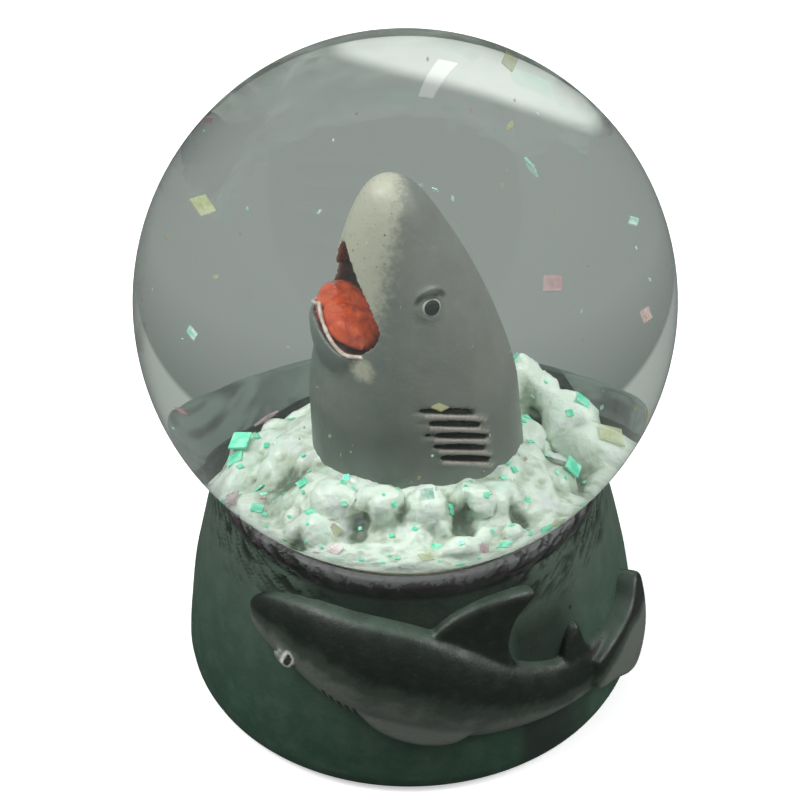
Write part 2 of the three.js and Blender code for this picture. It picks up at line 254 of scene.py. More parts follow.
def finish_piece(name, shape, finishes, body="root", replaces=(), marks=None, sharp=35):
    """Makes a bmesh in millimetres a finished object in metres that rides on a CAD body."""
    shape.normal_update()
    values = {mark: [rule(vertex) for vertex in shape.verts] for mark, rule in (marks or {}).items()}
    bmesh.ops.scale(shape, vec=(MM, MM, MM), verts=shape.verts)
    mesh = as_mesh(shape, name)
    for mark, numbers in values.items():
        mesh.attributes.new(mark, "FLOAT", "POINT").data.foreach_set("value", numbers)
    mesh.shade_smooth()
    mesh.set_sharp_from_angle(angle=math.radians(sharp))
    piece = as_object(mesh)
    for finish in finishes:
        mesh.materials.append(finish)
    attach(piece, body)
    if replaces:
        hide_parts(*replaces)
    triangles = sum(len(face.vertices) - 2 for face in mesh.polygons)
    print(f"{name}: {triangles} triangles")
    return piece


# %% [markdown]
# ## Helpers for finishes
# Each finish is a small node tree. A colour is written as it looks on a screen, from 0 to 255, and
# turned into the linear light that the shader works in. Noise in Object coordinates gives each surface
# its uneven paint, and a bump from finer noise gives it its grain.


# %% Helpers for node trees
def paint(red, green, blue):
    """A screen colour as linear light."""
    parts = [value / 255 for value in (red, green, blue)]
    linear = [v / 12.92 if v <= 0.04045 else ((v + 0.055) / 1.055) ** 2.4 for v in parts]
    return (*linear, 1.0)


class Finish:
    """A material with one main shader, and short ways to add and join nodes."""

    def __init__(self, name, roughness=0.5, specular=0.5):
        self.material = bpy.data.materials.new(name)
        self.material.use_nodes = True
        self.tree = self.material.node_tree
        self.tree.nodes.clear()
        self.output = self.add("OutputMaterial")
        self.shader = self.add("BsdfPrincipled")
        self.shader.inputs["Roughness"].default_value = roughness
        self.shader.inputs["Specular IOR Level"].default_value = specular
        self.join(self.shader.outputs[0], self.output.inputs["Surface"])
        self.place = self.add("TexCoord").outputs["Object"]

    def add(self, kind, **settings):
        node = self.tree.nodes.new("ShaderNode" + kind)
        for name, value in settings.items():
            setattr(node, name, value)
        return node

    def join(self, start, end):
        self.tree.links.new(start, end)

    def feed(self, socket, value):
        """Sets an input to a number or colour, or joins it to another node's output."""
        if isinstance(value, bpy.types.NodeSocket):
            self.join(value, socket)
        else:
            socket.default_value = value

    def noise(self, size, detail=4.0, roughness=0.55, distortion=0.0, stretch=(1, 1, 1), shift=0.0):
        """Noise whose lumps are about size millimetres across, from 0 to 1."""
        mapping = self.add("Mapping")
        mapping.inputs["Scale"].default_value = stretch
        mapping.inputs["Location"].default_value = (shift, shift, shift)
        self.join(self.place, mapping.inputs["Vector"])
        texture = self.add("TexNoise")
        texture.inputs["Scale"].default_value = 1 / (size * MM)
        texture.inputs["Detail"].default_value = detail
        texture.inputs["Roughness"].default_value = roughness
        texture.inputs["Distortion"].default_value = distortion
        self.join(mapping.outputs[0], texture.inputs["Vector"])
        return texture.outputs["Fac"]

    def cells(self, size, feature="F1", output="Distance"):
        """Round cells about size millimetres across."""
        texture = self.add("TexVoronoi", feature=feature)
        texture.inputs["Scale"].default_value = 1 / (size * MM)
        self.join(self.place, texture.inputs["Vector"])
        return texture.outputs[output]

    def mark(self, name):
        """A value that the mesh carries at its vertices."""
        return self.add("Attribute", attribute_name=name).outputs["Fac"]

    def span(self, value, low, high, to_low=0.0, to_high=1.0):
        """Stretches the part of a value between low and high, smoothly, to a new range."""
        node = self.add("MapRange", interpolation_type="SMOOTHSTEP")
        for name, number in (("From Min", low), ("From Max", high), ("To Min", to_low), ("To Max", to_high)):
            node.inputs[name].default_value = number
        self.join(value, node.inputs["Value"])
        return node.outputs["Result"]

    def height(self):
        """Height above the table, in millimetres."""
        parts = self.add("SeparateXYZ")
        self.join(self.place, parts.inputs[0])
        return self.maths("MULTIPLY", parts.outputs["Z"], 1 / MM)

    def maths(self, operation, first, second=0.0):
        node = self.add("Math", operation=operation)
        self.feed(node.inputs[0], first)
        self.feed(node.inputs[1], second)
        return node.outputs[0]

    def mix(self, share, first, second, blend="MIX"):
        """A mix of two colours."""
        node = self.add("Mix", data_type="RGBA", blend_type=blend)
        self.feed(node.inputs[0], share)
        self.feed(node.inputs[6], first)
        self.feed(node.inputs[7], second)
        return node.outputs[2]

    def coats(self, colour, *layers):
        """A colour with layers painted over it, each given by its share and its colour."""
        for share, layer in layers:
            colour = self.mix(share, colour, layer)
        return colour

    def colour(self, value):
        self.feed(self.shader.inputs["Base Color"], value)

    def rough(self, value):
        self.feed(self.shader.inputs["Roughness"], value)

    def bump(self, height, depth, strength=1.0):
        """Bump from a value, depth millimetres deep, on top of any bump made before it."""
        node = self.add("Bump")
        node.inputs["Strength"].default_value = strength
        node.inputs["Distance"].default_value = depth * MM
        self.join(height, node.inputs["Height"])
        earlier = self.shader.inputs["Normal"].links
        if earlier:
            self.join(earlier[0].from_socket, node.inputs["Normal"])
        self.join(node.outputs[0], self.shader.inputs["Normal"])


# %% [markdown]
# ## Camera
# The camera stands a little above the globe and looks down at it, close enough for the ball to bulge
# towards the lens. It is made early, because every later piece is judged through it. It leans by about
# a degree, as a camera held in the hand does.

# %% Camera
CAMERA_DISTANCE = 0.3
CAMERA_ELEVATION = math.radians(37.9)
AIM_BELOW_CENTRE = math.radians(2.38)
CAMERA_LEAN = math.radians(-1.2)

ball_centre = Vector((0, 0, BALL_HEIGHT * MM))
lens = bpy.data.cameras.new("camera")
lens.lens = 111.2
lens.sensor_width = 36
lens.clip_start = 0.01
lens.shift_x = -0.003
lens.shift_y = 0.0015
camera = bpy.data.objects.new("camera", lens)
scene.collection.objects.link(camera)
back = Vector((0, -math.cos(CAMERA_ELEVATION), math.sin(CAMERA_ELEVATION)))
tilt = Matrix.Rotation(math.pi / 2 - CAMERA_ELEVATION - AIM_BELOW_CENTRE, 4, "X")
camera.matrix_world = (Matrix.Translation(ball_centre + back * CAMERA_DISTANCE) @ tilt
                       @ Matrix.Rotation(CAMERA_LEAN, 4, "Z"))
scene.camera = camera
scene.view_settings.view_transform = "Standard"
print("camera at", [round(v, 3) for v in camera.matrix_world.translation])

# %% [markdown]
# ## Light and floor
# A product is lit by large soft lights. One big light stands above and to the left, a weaker one fills
# the right, and a narrow one behind gives the ball its small window of light. The world is soft light
# too, dimmer from below. Light that has passed through the glass sees a greyer world, paler at its
# sides and straight below, because a water-filled ball squeezes a whole room into itself and its edge
# shows the surroundings as crescents.

# %% World
WATER_GREY = paint(143, 149, 146)
TOP_PALE = paint(236, 242, 236)
SIDE_PALE = paint(170, 176, 171)
EDGE_DARK = paint(108, 115, 111)
AMBIENT_ABOVE = (0.36, 0.378, 0.37, 1)
AMBIENT_BELOW = (0.13, 0.142, 0.136, 1)

world = bpy.data.worlds.new("soft room")
scene.world = world
world.use_nodes = True
room = world.node_tree
room.nodes.clear()


def room_node(kind, **settings):
    """Adds a node to the world."""
    node = room.nodes.new("ShaderNode" + kind)
    for name, value in settings.items():
        setattr(node, name, value)
    return node


def room_mix(share, first, second):
    """Mixes two colours of the room; each may be a colour or a node's output."""
    node = room_node("Mix", data_type="RGBA")
    room.links.new(share, node.inputs[0])
    for socket, value in ((node.inputs[6], first), (node.inputs[7], second)):
        if isinstance(value, bpy.types.NodeSocket):
            room.links.new(value, socket)
        else:
            socket.default_value = value
    return node.outputs[2]


def room_range(value, low, high, kind="SMOOTHSTEP"):
    """0 where a value is at low and 1 where it is at high; low may be the larger."""
    node = room_node("MapRange", interpolation_type=kind)
    node.inputs["From Min"].default_value = low
    node.inputs["From Max"].default_value = high
    room.links.new(value, node.inputs["Value"])
    return node.outputs[0]


parts = room_node("SeparateXYZ")
room.links.new(room_node("TexCoord").outputs["Generated"], parts.inputs[0])
through_water = room_node("ValToRGB")
stops = through_water.color_ramp.elements
stops[0].position = 0.22
stops[0].color = WATER_GREY
stops[1].position = 0.325
stops[1].color = EDGE_DARK
stops.new(0.335).color = SIDE_PALE
room.links.new(room_range(parts.outputs["Z"], -1, 1, "LINEAR"), through_water.inputs["Fac"])
slanted = room_node("Math", operation="MULTIPLY_ADD")
slanted.inputs[1].default_value = 0.25
room.links.new(parts.outputs["X"], slanted.inputs[0])
room.links.new(parts.outputs["Z"], slanted.inputs[2])
seen = room_mix(room_range(slanted.outputs[0], -0.92, -0.955), through_water.outputs["Color"], TOP_PALE)
seen = room_mix(room_range(parts.outputs["X"], 0.7, 0.95), seen, EDGE_DARK)

rays = room_node("LightPath")
ambient = room_mix(room_range(parts.outputs["Z"], -0.1, 0.5, "LINEAR"), AMBIENT_BELOW, AMBIENT_ABOVE)
light = room_mix(rays.outputs["Is Camera Ray"], ambient, (1, 1, 1, 1))
light = room_mix(rays.outputs["Is Transmission Ray"], light, seen)
sky = room_node("Background")
room.links.new(light, sky.inputs["Color"])
room.links.new(sky.outputs[0], room_node("OutputWorld").inputs["Surface"])


# %% Lights
def soft_light(name, place, width, height, power):
    """A soft rectangular light that faces the ball."""
    lamp = bpy.data.lights.new(name, "AREA")
    lamp.shape = "RECTANGLE"
    lamp.size = width
    lamp.size_y = height
    lamp.energy = power
    holder = bpy.data.objects.new(name, lamp)
    holder.location = place
    holder.rotation_euler = (Vector(place) - ball_centre).to_track_quat("Z", "Y").to_euler()
    scene.collection.objects.link(holder)
    return holder


key_light = soft_light("key_light", (-0.36, -0.06, 0.6), 0.42, 0.42, 3.9)
fill_light = soft_light("fill_light", (0.5, -0.08, 0.42), 0.4, 0.4, 2.7)
soft_light("window_light", (0.09, 0.47, 0.41), 0.045, 0.3, 0.1)

# %% Floor
floor_shape = bmesh.new()
bmesh.ops.create_grid(floor_shape, x_segments=1, y_segments=1, size=3)
floor = as_object(as_mesh(floor_shape, "floor"))
pale_floor = Finish("pale floor", roughness=0.9, specular=0.1)
pale_floor.colour(pale_floor.mix(pale_floor.noise(60), (0.9, 0.9, 0.9, 1), (0.94, 0.94, 0.94, 1)))
pale_floor.shader.inputs["Emission Color"].default_value = (1, 1, 1, 1)
pale_floor.shader.inputs["Emission Strength"].default_value = 0.45
floor.data.materials.append(pale_floor.material)
floor.visible_transmission = False
floor.visible_diffuse = False
floor.visible_glossy = False
floor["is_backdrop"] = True

# %% [markdown]
# ## Resin base
# The base is cast resin, flared from the shoulder to the foot on one shallow curve, with a socket for
# the ball's neck and a low collar that follows the ball. It is turned from its outline in fine steps.
# Near the shoulder the caster brushed the paint on thickly, which leaves short slanting grooves: they
# are pressed into the mesh, because their shadows show, and their depth is kept at the vertices so
# that painted shade can darken them.


# %% The wall's curve
def wall_radius(height):
    """The wall's radius at a height, on a curve with one control point."""
    middle = (SHOULDER_HEIGHT + 0.8) / 2
    height = min(max(height, FOOT_HEIGHT), SHOULDER_HEIGHT)
    a = FOOT_HEIGHT - 2 * middle + SHOULDER_HEIGHT
    b = 2 * (middle - FOOT_HEIGHT)
    c = FOOT_HEIGHT - height
    t = -c / b if abs(a) < 1e-6 else (-b + math.sqrt(b * b - 4 * a * c)) / (2 * a)
    return (1 - t) ** 2 * FOOT_RADIUS + 2 * t * (1 - t) * (FOOT_RADIUS - 1) + t * t * SHOULDER_RADIUS


def wall_angle(place):
    """The angle round the base, 0 at the front and growing to the right."""
    return math.atan2(place.x, -place.y)


print("wall radius at half height:", round(wall_radius(15), 2))

# %% Base shape
WALL_ROWS = 100
GROOVE_DEPTH = 0.24
SWELL = 0.12

foot = [(0, PAD_THICKNESS + GAP), (PAD_RADIUS + GAP, PAD_THICKNESS + GAP), (PAD_RADIUS + GAP, 0.8),
        (FOOT_RADIUS - 0.9, 0.8), (FOOT_RADIUS - 0.35, 1.0), (FOOT_RADIUS - 0.1, 1.6)]
heights = [FOOT_HEIGHT + (SHOULDER_HEIGHT - FOOT_HEIGHT) * i / WALL_ROWS for i in range(WALL_ROWS)]
wall = [(wall_radius(height), height) for height in heights]
collar = curve_through([(SHOULDER_RADIUS, SHOULDER_HEIGHT), (COLLAR_RADIUS - 0.1, COLLAR_TOP - 1.8),
                        (COLLAR_RADIUS, COLLAR_TOP - 0.9), (COLLAR_RADIUS - 0.3, COLLAR_TOP - 0.2),
                        (COLLAR_RADIUS - 0.75, COLLAR_TOP)], 5)
seat = [(radius, height) for radius, height in reversed(arc(BALL_RADIUS + GAP, -49.0, -44.1, 8))]
socket = [(SOCKET_RADIUS, 26), (SOCKET_RADIUS, 21), (SOCKET_RADIUS, SOCKET_FLOOR), (0, SOCKET_FLOOR)]
base_shape = turned(foot + wall + collar + seat + socket, 384)


def ball_radius_at(height):
    """The ball's outer radius at a height."""
    return math.sqrt(max(0.0, BALL_RADIUS ** 2 - (height - BALL_HEIGHT) ** 2))


def groove(place):
    """How deep a brush groove is at a place on the wall, from 0 to 1."""
    angle = wall_angle(place)
    along = angle * SHOULDER_RADIUS
    side = math.sin(angle)
    slant = place.z + along * 0.55 * (1 if side < 0 else -1)
    stroke = max(noise.noise(Vector((along * 0.32, slant * 1.5, 4.0 * side))),
                 noise.noise(Vector((along * 0.6 + 7, slant * 2.6, 4.0 * side))))
    break_up = noise.noise(Vector((along * 0.5, place.z * 0.5, 9)))
    reach = smoothstep(22.5, 28, place.z + 3 * break_up) * smoothstep(0.25, 0.6, abs(side))
    return smoothstep(0.08, 0.32, stroke) * reach


for vertex in base_shape.verts:
    radius = Vector((vertex.co.x, vertex.co.y, 0))
    inner_side = max(SOCKET_RADIUS, ball_radius_at(vertex.co.z) + GAP)
    if radius.length > inner_side + 0.2 and vertex.co.z > 2:
        outwards = radius.normalized()
        swell = SWELL * noise.noise(vertex.co * 0.16)
        vertex.co += outwards * (swell - GROOVE_DEPTH * groove(vertex.co))

# %% [markdown]
# ### Paint of the base
# The resin is a deep sea green at the foot and greyer towards the shoulder, and a worn purple-grey
# shows round the ball. The paint is mixed by height, with noise to break each edge up. Painted shade
# darkens the wall above the back of each shark, in the bay behind its fin, and in the brush grooves.

# %% Base finish
FRONT_SHARK_TURN = 0.0
BACK_SHARK_TURN = math.radians(170)
SHARK_MIDDLE = math.radians(2)


def painted_shark_shade(vertex):
    """1 on the wall above a shark's back and in the bay behind its fin, where painted shade darkens the wall.
    """
    dark = 0.0
    for turn in (FRONT_SHARK_TURN, BACK_SHARK_TURN):
        off = (wall_angle(vertex.co) - turn - SHARK_MIDDLE + math.pi) % (2 * math.pi) - math.pi
        shade_over_back = (1 - smoothstep(0.46, 0.7, abs(off))) * smoothstep(22.5, 25.0, vertex.co.z)
        bay = smoothstep(0.4, 0.48, off) * (1 - smoothstep(0.66, 0.9, off)) * smoothstep(26, 20, vertex.co.z)
        dark = max(dark, shade_over_back, bay)
    return dark


resin = Finish("sea-green resin", roughness=0.5, specular=0.35)
height = resin.height()
wobble = resin.noise(9, 5)
level = resin.maths("ADD", height, resin.span(wobble, 0.2, 0.8, -2.2, 2.2))
cloud = resin.noise(3.2, 6, 0.6)
# Painted shade: the wall above each shark's back and in the bay behind its fin is painted darker, where the
# relief shades it.
shadow = resin.maths("MULTIPLY", resin.mark("painted_shark_shade"), resin.span(cloud, 0.1, 0.6, 0.98, 0.85))
rim_noise = resin.noise(2.0, 6, 0.65, 0.6)
rim_edge = resin.maths("ADD", height, resin.span(rim_noise, 0.35, 0.65, -1.0, 1.0))
rim = resin.mix(resin.span(rim_edge, 31.0, 31.6), paint(66, 61, 63), paint(90, 92, 92))
rim = resin.mix(resin.mark("rear"), rim, resin.mix(cloud, paint(72, 88, 80), paint(110, 126, 118)))
rim_level = resin.maths("ADD", height, resin.span(rim_noise, 0.3, 0.7, -0.8, 0.8))
dots = resin.span(resin.cells(5.5), 0.035, 0.065, 1, 0)
resin.colour(resin.coats(
    paint(42, 70, 55),
    (resin.span(level, 1, 13), paint(58, 82, 69)),
    (resin.span(level, 12, 25), paint(76, 92, 81)),
    (resin.span(cloud, 0.35, 0.75, 0, 0.25), paint(98, 116, 104)),
    (shadow, paint(37, 45, 39)),
    (resin.span(rim_level, 29.0, 30.6), rim),
    # Painted shade in the brush grooves.
    (resin.maths("MULTIPLY", resin.mark("groove"), 0.9), paint(26, 30, 26)),
    (resin.maths("MULTIPLY", dots, 0.8), paint(20, 26, 22))))
resin.rough(resin.span(resin.noise(1.4, 5), 0.3, 0.7, 0.42, 0.6))
resin.bump(resin.noise(0.6, 4), 0.05)
resin.bump(resin.noise(3.5, 3), 0.12)


def rear(vertex):
    """1 at the back of the base, where the collar's paint is greener."""
    return smoothstep(math.radians(80), math.radians(115), abs(wall_angle(vertex.co)))


finish_piece("resin_base", base_shape, [resin.material], replaces=["base_casting"],
             marks={"groove": lambda vertex: groove(vertex.co), "painted_shark_shade": painted_shark_shade, "rear": rear})

# %% [markdown]
# ## Sharks in relief
# Each shark is drawn flat, as a plaster worker would: x runs along the wall, z is the height and -y is
# towards the viewer. A body swept along its spine, four fins and a brow are fused into one skin and
# then wrapped on the flared wall. Sculpting on the curved wall itself would be harder to steer.

# %% Shark outlines
RELIEF_RADIUS = 28.0
RELIEF_DEPTH = 3.5
RELIEF_GIRTH = 7.0
RELIEF_VOXEL = 0.24
SNOUT_END = -24.0
TAIL_END = 36.0
BACK_TAIL_RISE = 7.6

girth = between([(SNOUT_END, 0.5), (-22.8, 1.9), (-20.5, 3.1), (-15, 4.8), (-8, 6.5), (0, RELIEF_GIRTH),
                 (6, 6.6), (12, 5), (18, 3.8), (25, 3.4), (TAIL_END, 2.4)])


def spine_of(tail_rise):
    """The height of a shark's spine along its length, for a tail raised by some millimetres."""
    return between([(SNOUT_END, 22.2), (-15, 22.2), (-8, 20.5), (0, 18.8), (6, 16.6),
                    (12, 14 + tail_rise * 0.2), (18, 12 + tail_rise * 0.45), (25, 11 + tail_rise * 0.75),
                    (TAIL_END, 10.4 + tail_rise)])


def add_fin(shape, outline, thickness, rise=0.0, root=1.2):
    """A fin cut from a plate that reaches from behind the wall's surface out to its thickness."""
    rim = curve_through([*outline, outline[0]], 6)[:-1]
    corners = [shape.verts.new((x, root, z + rise)) for x, z in rim]
    plate = shape.faces.new(corners)
    swept = bmesh.ops.extrude_face_region(shape, geom=[plate])["geom"]
    moved = [part for part in swept if isinstance(part, bmesh.types.BMVert)]
    bmesh.ops.translate(shape, verts=moved, vec=(0, -root - thickness, 0))
    edges = list({edge for vertex in moved for edge in vertex.link_edges
                  if all(end in moved for end in edge.verts)})
    bmesh.ops.recalc_face_normals(shape, faces=shape.faces)
    bmesh.ops.bevel(shape, geom=edges, offset=min(0.6, thickness * 0.45), affect="EDGES", segments=3,
                    profile=0.5, material=-1)


# %% Shark shape
def flat_shark(tail_rise):
    """A shark drawn flat, fused from its body and fins."""
    spine = spine_of(tail_rise)
    shape = bmesh.new()
    add_egg(shape, (1, 1, 1), (0, 0, 0), Matrix.Rotation(math.pi / 2, 4, "Y"), 96)
    for vertex in shape.verts:
        along = SNOUT_END + (TAIL_END - SNOUT_END) * (vertex.co.x + 1) / 2
        across = Vector((vertex.co.y, vertex.co.z))
        size = across.length
        half = girth(along) if size > 0.01 else 0.0
        up = across.y / size if size > 0.01 else 0.0
        out = across.x / size if size > 0.01 else 0.0
        squareness = 0.5 if up > 0 else 0.72
        fullness = math.copysign(abs(out) ** squareness, out)
        vertex.co = (along, fullness * half * RELIEF_DEPTH / RELIEF_GIRTH, spine(along) + up * half)
    add_fin(shape, [(-2, 21), (5, 26.6), (12, 28), (17.4, 26.9), (14, 24.6), (12.4, 21.4), (12, 16)], 1.4)
    add_fin(shape, [(19, 12), (20.6, 16.6), (23, 19), (24, 15.6), (25.6, 11)], 1.2, tail_rise * 0.65)
    add_fin(shape, [(-7, 15.5), (-4, 12.4), (0.6, 10.5), (5, 10.5), (6, 13)], 2.7)
    add_fin(shape, [(24, 13), (29, 13.8), (33, 14.4), (36.4, 16.4), (38.2, 15), (38.2, 10.5), (36.6, 7.4),
                    (33, 5.4), (30.5, 5.6), (27, 7.6), (23.5, 9)], 2.6, tail_rise)
    brow = (-16.0, -2.55, spine(-16) - 2.6)
    add_egg(shape, (1.5, 0.6, 0.5), brow, Matrix.Rotation(0.5, 4, "Y"), 24)
    whole = fused(shape, RELIEF_VOXEL, 4)
    everything = [*whole.verts, *whole.edges, *whole.faces]
    cut = bmesh.ops.bisect_plane(whole, geom=everything, dist=0.001, plane_co=(0, 0.25, 0),
                                 plane_no=(0, 1, 0), clear_outer=True)["geom_cut"]
    rims = [part for part in cut if isinstance(part, bmesh.types.BMEdge)]
    bmesh.ops.holes_fill(whole, edges=rims, sides=0)
    bmesh.ops.triangulate(whole, faces=[face for face in whole.faces if len(face.verts) > 4])
    return whole


def wrap_on_wall(shape, turn):
    """Bends a flat drawing round the base, on its flared wall."""
    for vertex in shape.verts:
        along, depth, up = vertex.co.x, -vertex.co.y, vertex.co.z
        angle = along / RELIEF_RADIUS + turn
        radius = wall_radius(up) + depth
        vertex.co = (radius * math.sin(angle), -radius * math.cos(angle), up)


# %% [markdown]
# ### Paint of the relief sharks
# The sharks are darker than the base along the back and greyer along the belly and tail, with a pale
# ridge along the upper edge of the back, partly paint that the brush missed and partly a painted
# highlight where that face turns up to the light, a white ring round the eye, and five dark ticks for
# the gills. The zones are worked out on the flat drawing, where they are simple bands along the spine,
# and stay at the vertices when the drawing is wrapped.

# %% Shark paint
EYE_ALONG, EYE_UP = -15.3, 19.9
EYE_SIZE = 0.8
GILL_START, GILL_STEP = -10.4, 0.95


def shark_zones(shape, tail_rise):
    """Marks of the flat drawing's vertices: share of the way up the back, pale ridge with its painted
    highlight, eye, pupil and gills.
    """
    spine = spine_of(tail_rise)
    zones = {"back": [], "bare_ridge_and_highlight": [], "eye_ring": [], "pupil": [], "gill": []}
    for vertex in shape.verts:
        x, y, z = vertex.co
        half = girth(x)
        lift = (z - spine(x)) / half
        tail_fade = smoothstep(22, 32, x)
        zones["back"].append(smoothstep(-0.75, 0.6, lift - tail_fade + 0.06 * x / RELIEF_GIRTH))
        # The pale ridge is partly a painted highlight: it lies where the top of the back faces up.
        facing_up = smoothstep(0.66, 0.95, vertex.normal.z)
        zones["bare_ridge_and_highlight"].append(facing_up * smoothstep(0.55, 0.85, lift) * smoothstep(-23, -19, x))
        eye = math.hypot((x - EYE_ALONG) / 0.85, (z - EYE_UP) / 1.15 + 0.35 * (x - EYE_ALONG)) / EYE_SIZE
        outer = y < -0.4
        zones["eye_ring"].append((1 - smoothstep(0.95, 1.2, eye)) * outer)
        zones["pupil"].append((1 - smoothstep(0.5, 0.7, eye)) * outer)
        gills = 0.0
        for i in range(5):
            centre_x = GILL_START + GILL_STEP * i
            centre_z = spine(centre_x) - girth(centre_x) * 0.8
            slant = abs(x - centre_x + 0.3 * (z - centre_z))
            tick = (1 - smoothstep(0.14, 0.3, slant)) * (1 - smoothstep(0.7, 1.1, abs(z - centre_z)))
            gills = max(gills, tick)
        zones["gill"].append(gills * outer)
    return zones


hide = Finish("relief shark paint", roughness=0.42, specular=0.5)
flecks = hide.noise(4.5, 6, 0.6, 0.3)
back_paint = hide.maths("ADD", hide.mark("back"), hide.span(flecks, 0.25, 0.75, -0.16, 0.16))
# Pale ridge: paint the brush missed, and a painted highlight on the upward-facing top of the back.
bare_ridge_and_highlight = hide.maths("MULTIPLY", hide.mark("bare_ridge_and_highlight"), hide.span(flecks, 0.3, 0.6, 0.6, 1.0))
hide.colour(hide.coats(
    paint(100, 105, 99),
    (hide.span(back_paint, 0.02, 0.42), paint(57, 65, 57)),
    (hide.span(back_paint, 0.4, 0.85), paint(21, 29, 23)),
    (hide.span(hide.noise(1.1, 5, 0.6), 0.55, 0.8, 0, 0.15), paint(76, 82, 76)),
    (bare_ridge_and_highlight, paint(70, 86, 75)),
    (hide.mark("eye_ring"), paint(196, 196, 190)),
    (hide.mark("pupil"), paint(14, 16, 15)),
    (hide.mark("gill"), paint(12, 16, 13))))
hide.rough(hide.span(hide.noise(2.2, 4), 0.3, 0.7, 0.36, 0.55))
hide.bump(hide.noise(0.5, 4), 0.04)
hide.bump(hide.noise(3.0, 3), 0.1)

for side, turn, tail_rise in (("front", FRONT_SHARK_TURN, 0.0), ("back", BACK_SHARK_TURN, BACK_TAIL_RISE)):
    shark = flat_shark(tail_rise)
    shark.verts.index_update()
    zones = shark_zones(shark, tail_rise)
    wrap_on_wall(shark, turn)
    finish_piece(f"relief_shark_{side}", shark, [hide.material],
                 replaces=[f"side_shark_{side}"], marks=stored(zones))

# %% [markdown]
# ## Pad, stopper and seals
# These pieces are hidden in use, and they are what makes a snow globe work: a rubber stopper closes the
# neck, a bead of sealant keeps it tight, glue beds the neck in the base and a felt pad spares the
# table. Each is turned from its outline, with its edges rounded by arcs as a moulded or poured piece
# has them.

# %% Felt pad
felt = Finish("green-black felt", roughness=0.95, specular=0.2)
felt.shader.inputs["Sheen Weight"].default_value = 0.5
felt.shader.inputs["Sheen Roughness"].default_value = 0.5
fibres = felt.noise(0.35, 6, 0.7, 1.5)
felt.colour(felt.mix(felt.span(fibres, 0.3, 0.7), paint(24, 30, 26), paint(52, 60, 54)))
felt.bump(fibres, 0.12)
pad_edge = arc(0.35, -90, 0, 4, (PAD_RADIUS - 0.35, 0.35)) + arc(0.3, 0, 90, 4, (PAD_RADIUS - 0.3, 0.9))
pad_rings = [(PAD_RADIUS * i / 12, 0) for i in range(12)]
pad_shape = turned(pad_rings + pad_edge + [(radius, PAD_THICKNESS) for radius, _ in reversed(pad_rings)], 128)
for vertex in pad_shape.verts:
    if vertex.co.z > 0.2:
        vertex.co.z += 0.04 * noise.noise(vertex.co * 0.9)
finish_piece("felt_disc", pad_shape, [felt.material], replaces=["felt_pad"])

# %% Stopper
rubber = Finish("black rubber", roughness=0.75, specular=0.35)
dust = rubber.noise(1.6, 5)
rubber.colour(rubber.mix(rubber.span(dust, 0.35, 0.75), paint(38, 39, 40), paint(64, 65, 64)))
rubber.rough(rubber.span(dust, 0.3, 0.7, 0.65, 0.85))
rubber.bump(rubber.noise(0.4, 3), 0.03)


PLUG_RADIUS = 18.2
FLANGE_BOTTOM = 17.2
FLANGE_TOP = 19.7
PLUG_TOP = 27.0
RIB_HEIGHTS = (22.5, 25.0)


def rib(height):
    """A rounded sealing rib on the plug."""
    return [(PLUG_RADIUS, height - 0.85), *arc(0.42, -90, 90, 6, (PLUG_RADIUS, height)),
            (PLUG_RADIUS, height + 0.85)]


flange = [(0, FLANGE_BOTTOM), *arc(0.4, -90, 0, 4, (19.0, FLANGE_BOTTOM + 0.4)),
          *arc(0.35, 0, 90, 4, (19.05, FLANGE_TOP - 0.35))]
plug = [(PLUG_RADIUS, FLANGE_TOP), *[point for height in RIB_HEIGHTS for point in rib(height)],
        *arc(0.5, 0, 90, 5, (PLUG_RADIUS - 0.5, PLUG_TOP - 0.5)), (0, PLUG_TOP)]
finish_piece("rubber_stopper", turned(flange + plug, 128), [rubber.material], replaces=["stopper"])

# %% Sealant and glue
sealant = Finish("white sealant", roughness=0.4)
sealant.colour(sealant.mix(sealant.noise(3), paint(206, 206, 198), paint(228, 228, 222)))
sealant.bump(sealant.noise(1.2, 3), 0.06)
bead = [(19.7, 17.8), *arc(0.3, -90, 0, 4, (20.0, 18.1)), *arc(0.3, 0, 90, 4, (20.0, 19.3)), (19.7, 19.65),
        (19.7, 17.8)]
finish_piece("bead_of_sealant", turned(bead, 128), [sealant.material], replaces=["sealant_bead"])

glue = Finish("amber bedding glue", roughness=0.45)
glue.colour(glue.mix(glue.span(glue.noise(2.5, 4), 0.3, 0.7), paint(176, 158, 122), paint(206, 192, 160)))
glue.bump(glue.noise(1.0, 3), 0.08)
cup = [(0, 16.2), (21.0, 16.2), (21.2, 16.4), (21.2, 28.4), *arc(0.3, 0, 180, 6, (20.9, 28.4)), (20.6, 17.1),
       (20.4, 16.9), (0, 16.9)]
finish_piece("glue_cup", turned(cup, 128), [glue.material], replaces=["bedding_glue"])

# %% [markdown]
# ## Glass ball and water
# The ball is one blown piece with a short open neck. Its wall is modelled as a closed skin, with an
# outer face against the air and an inner face against the water. Light bends at each face by the step
# in refractive index, so the faces have a finish each: glass against air steps by 1.5, and glass
# against water by 1.5 / 1.35, which is what magnifies the figure. Light for shadows and soft bounces
# goes straight through, because a lamp's light through a lens takes too long to find otherwise.

# %% Glass finish
GLASS_INDEX = 1.5
WATER_INDEX = 1.35


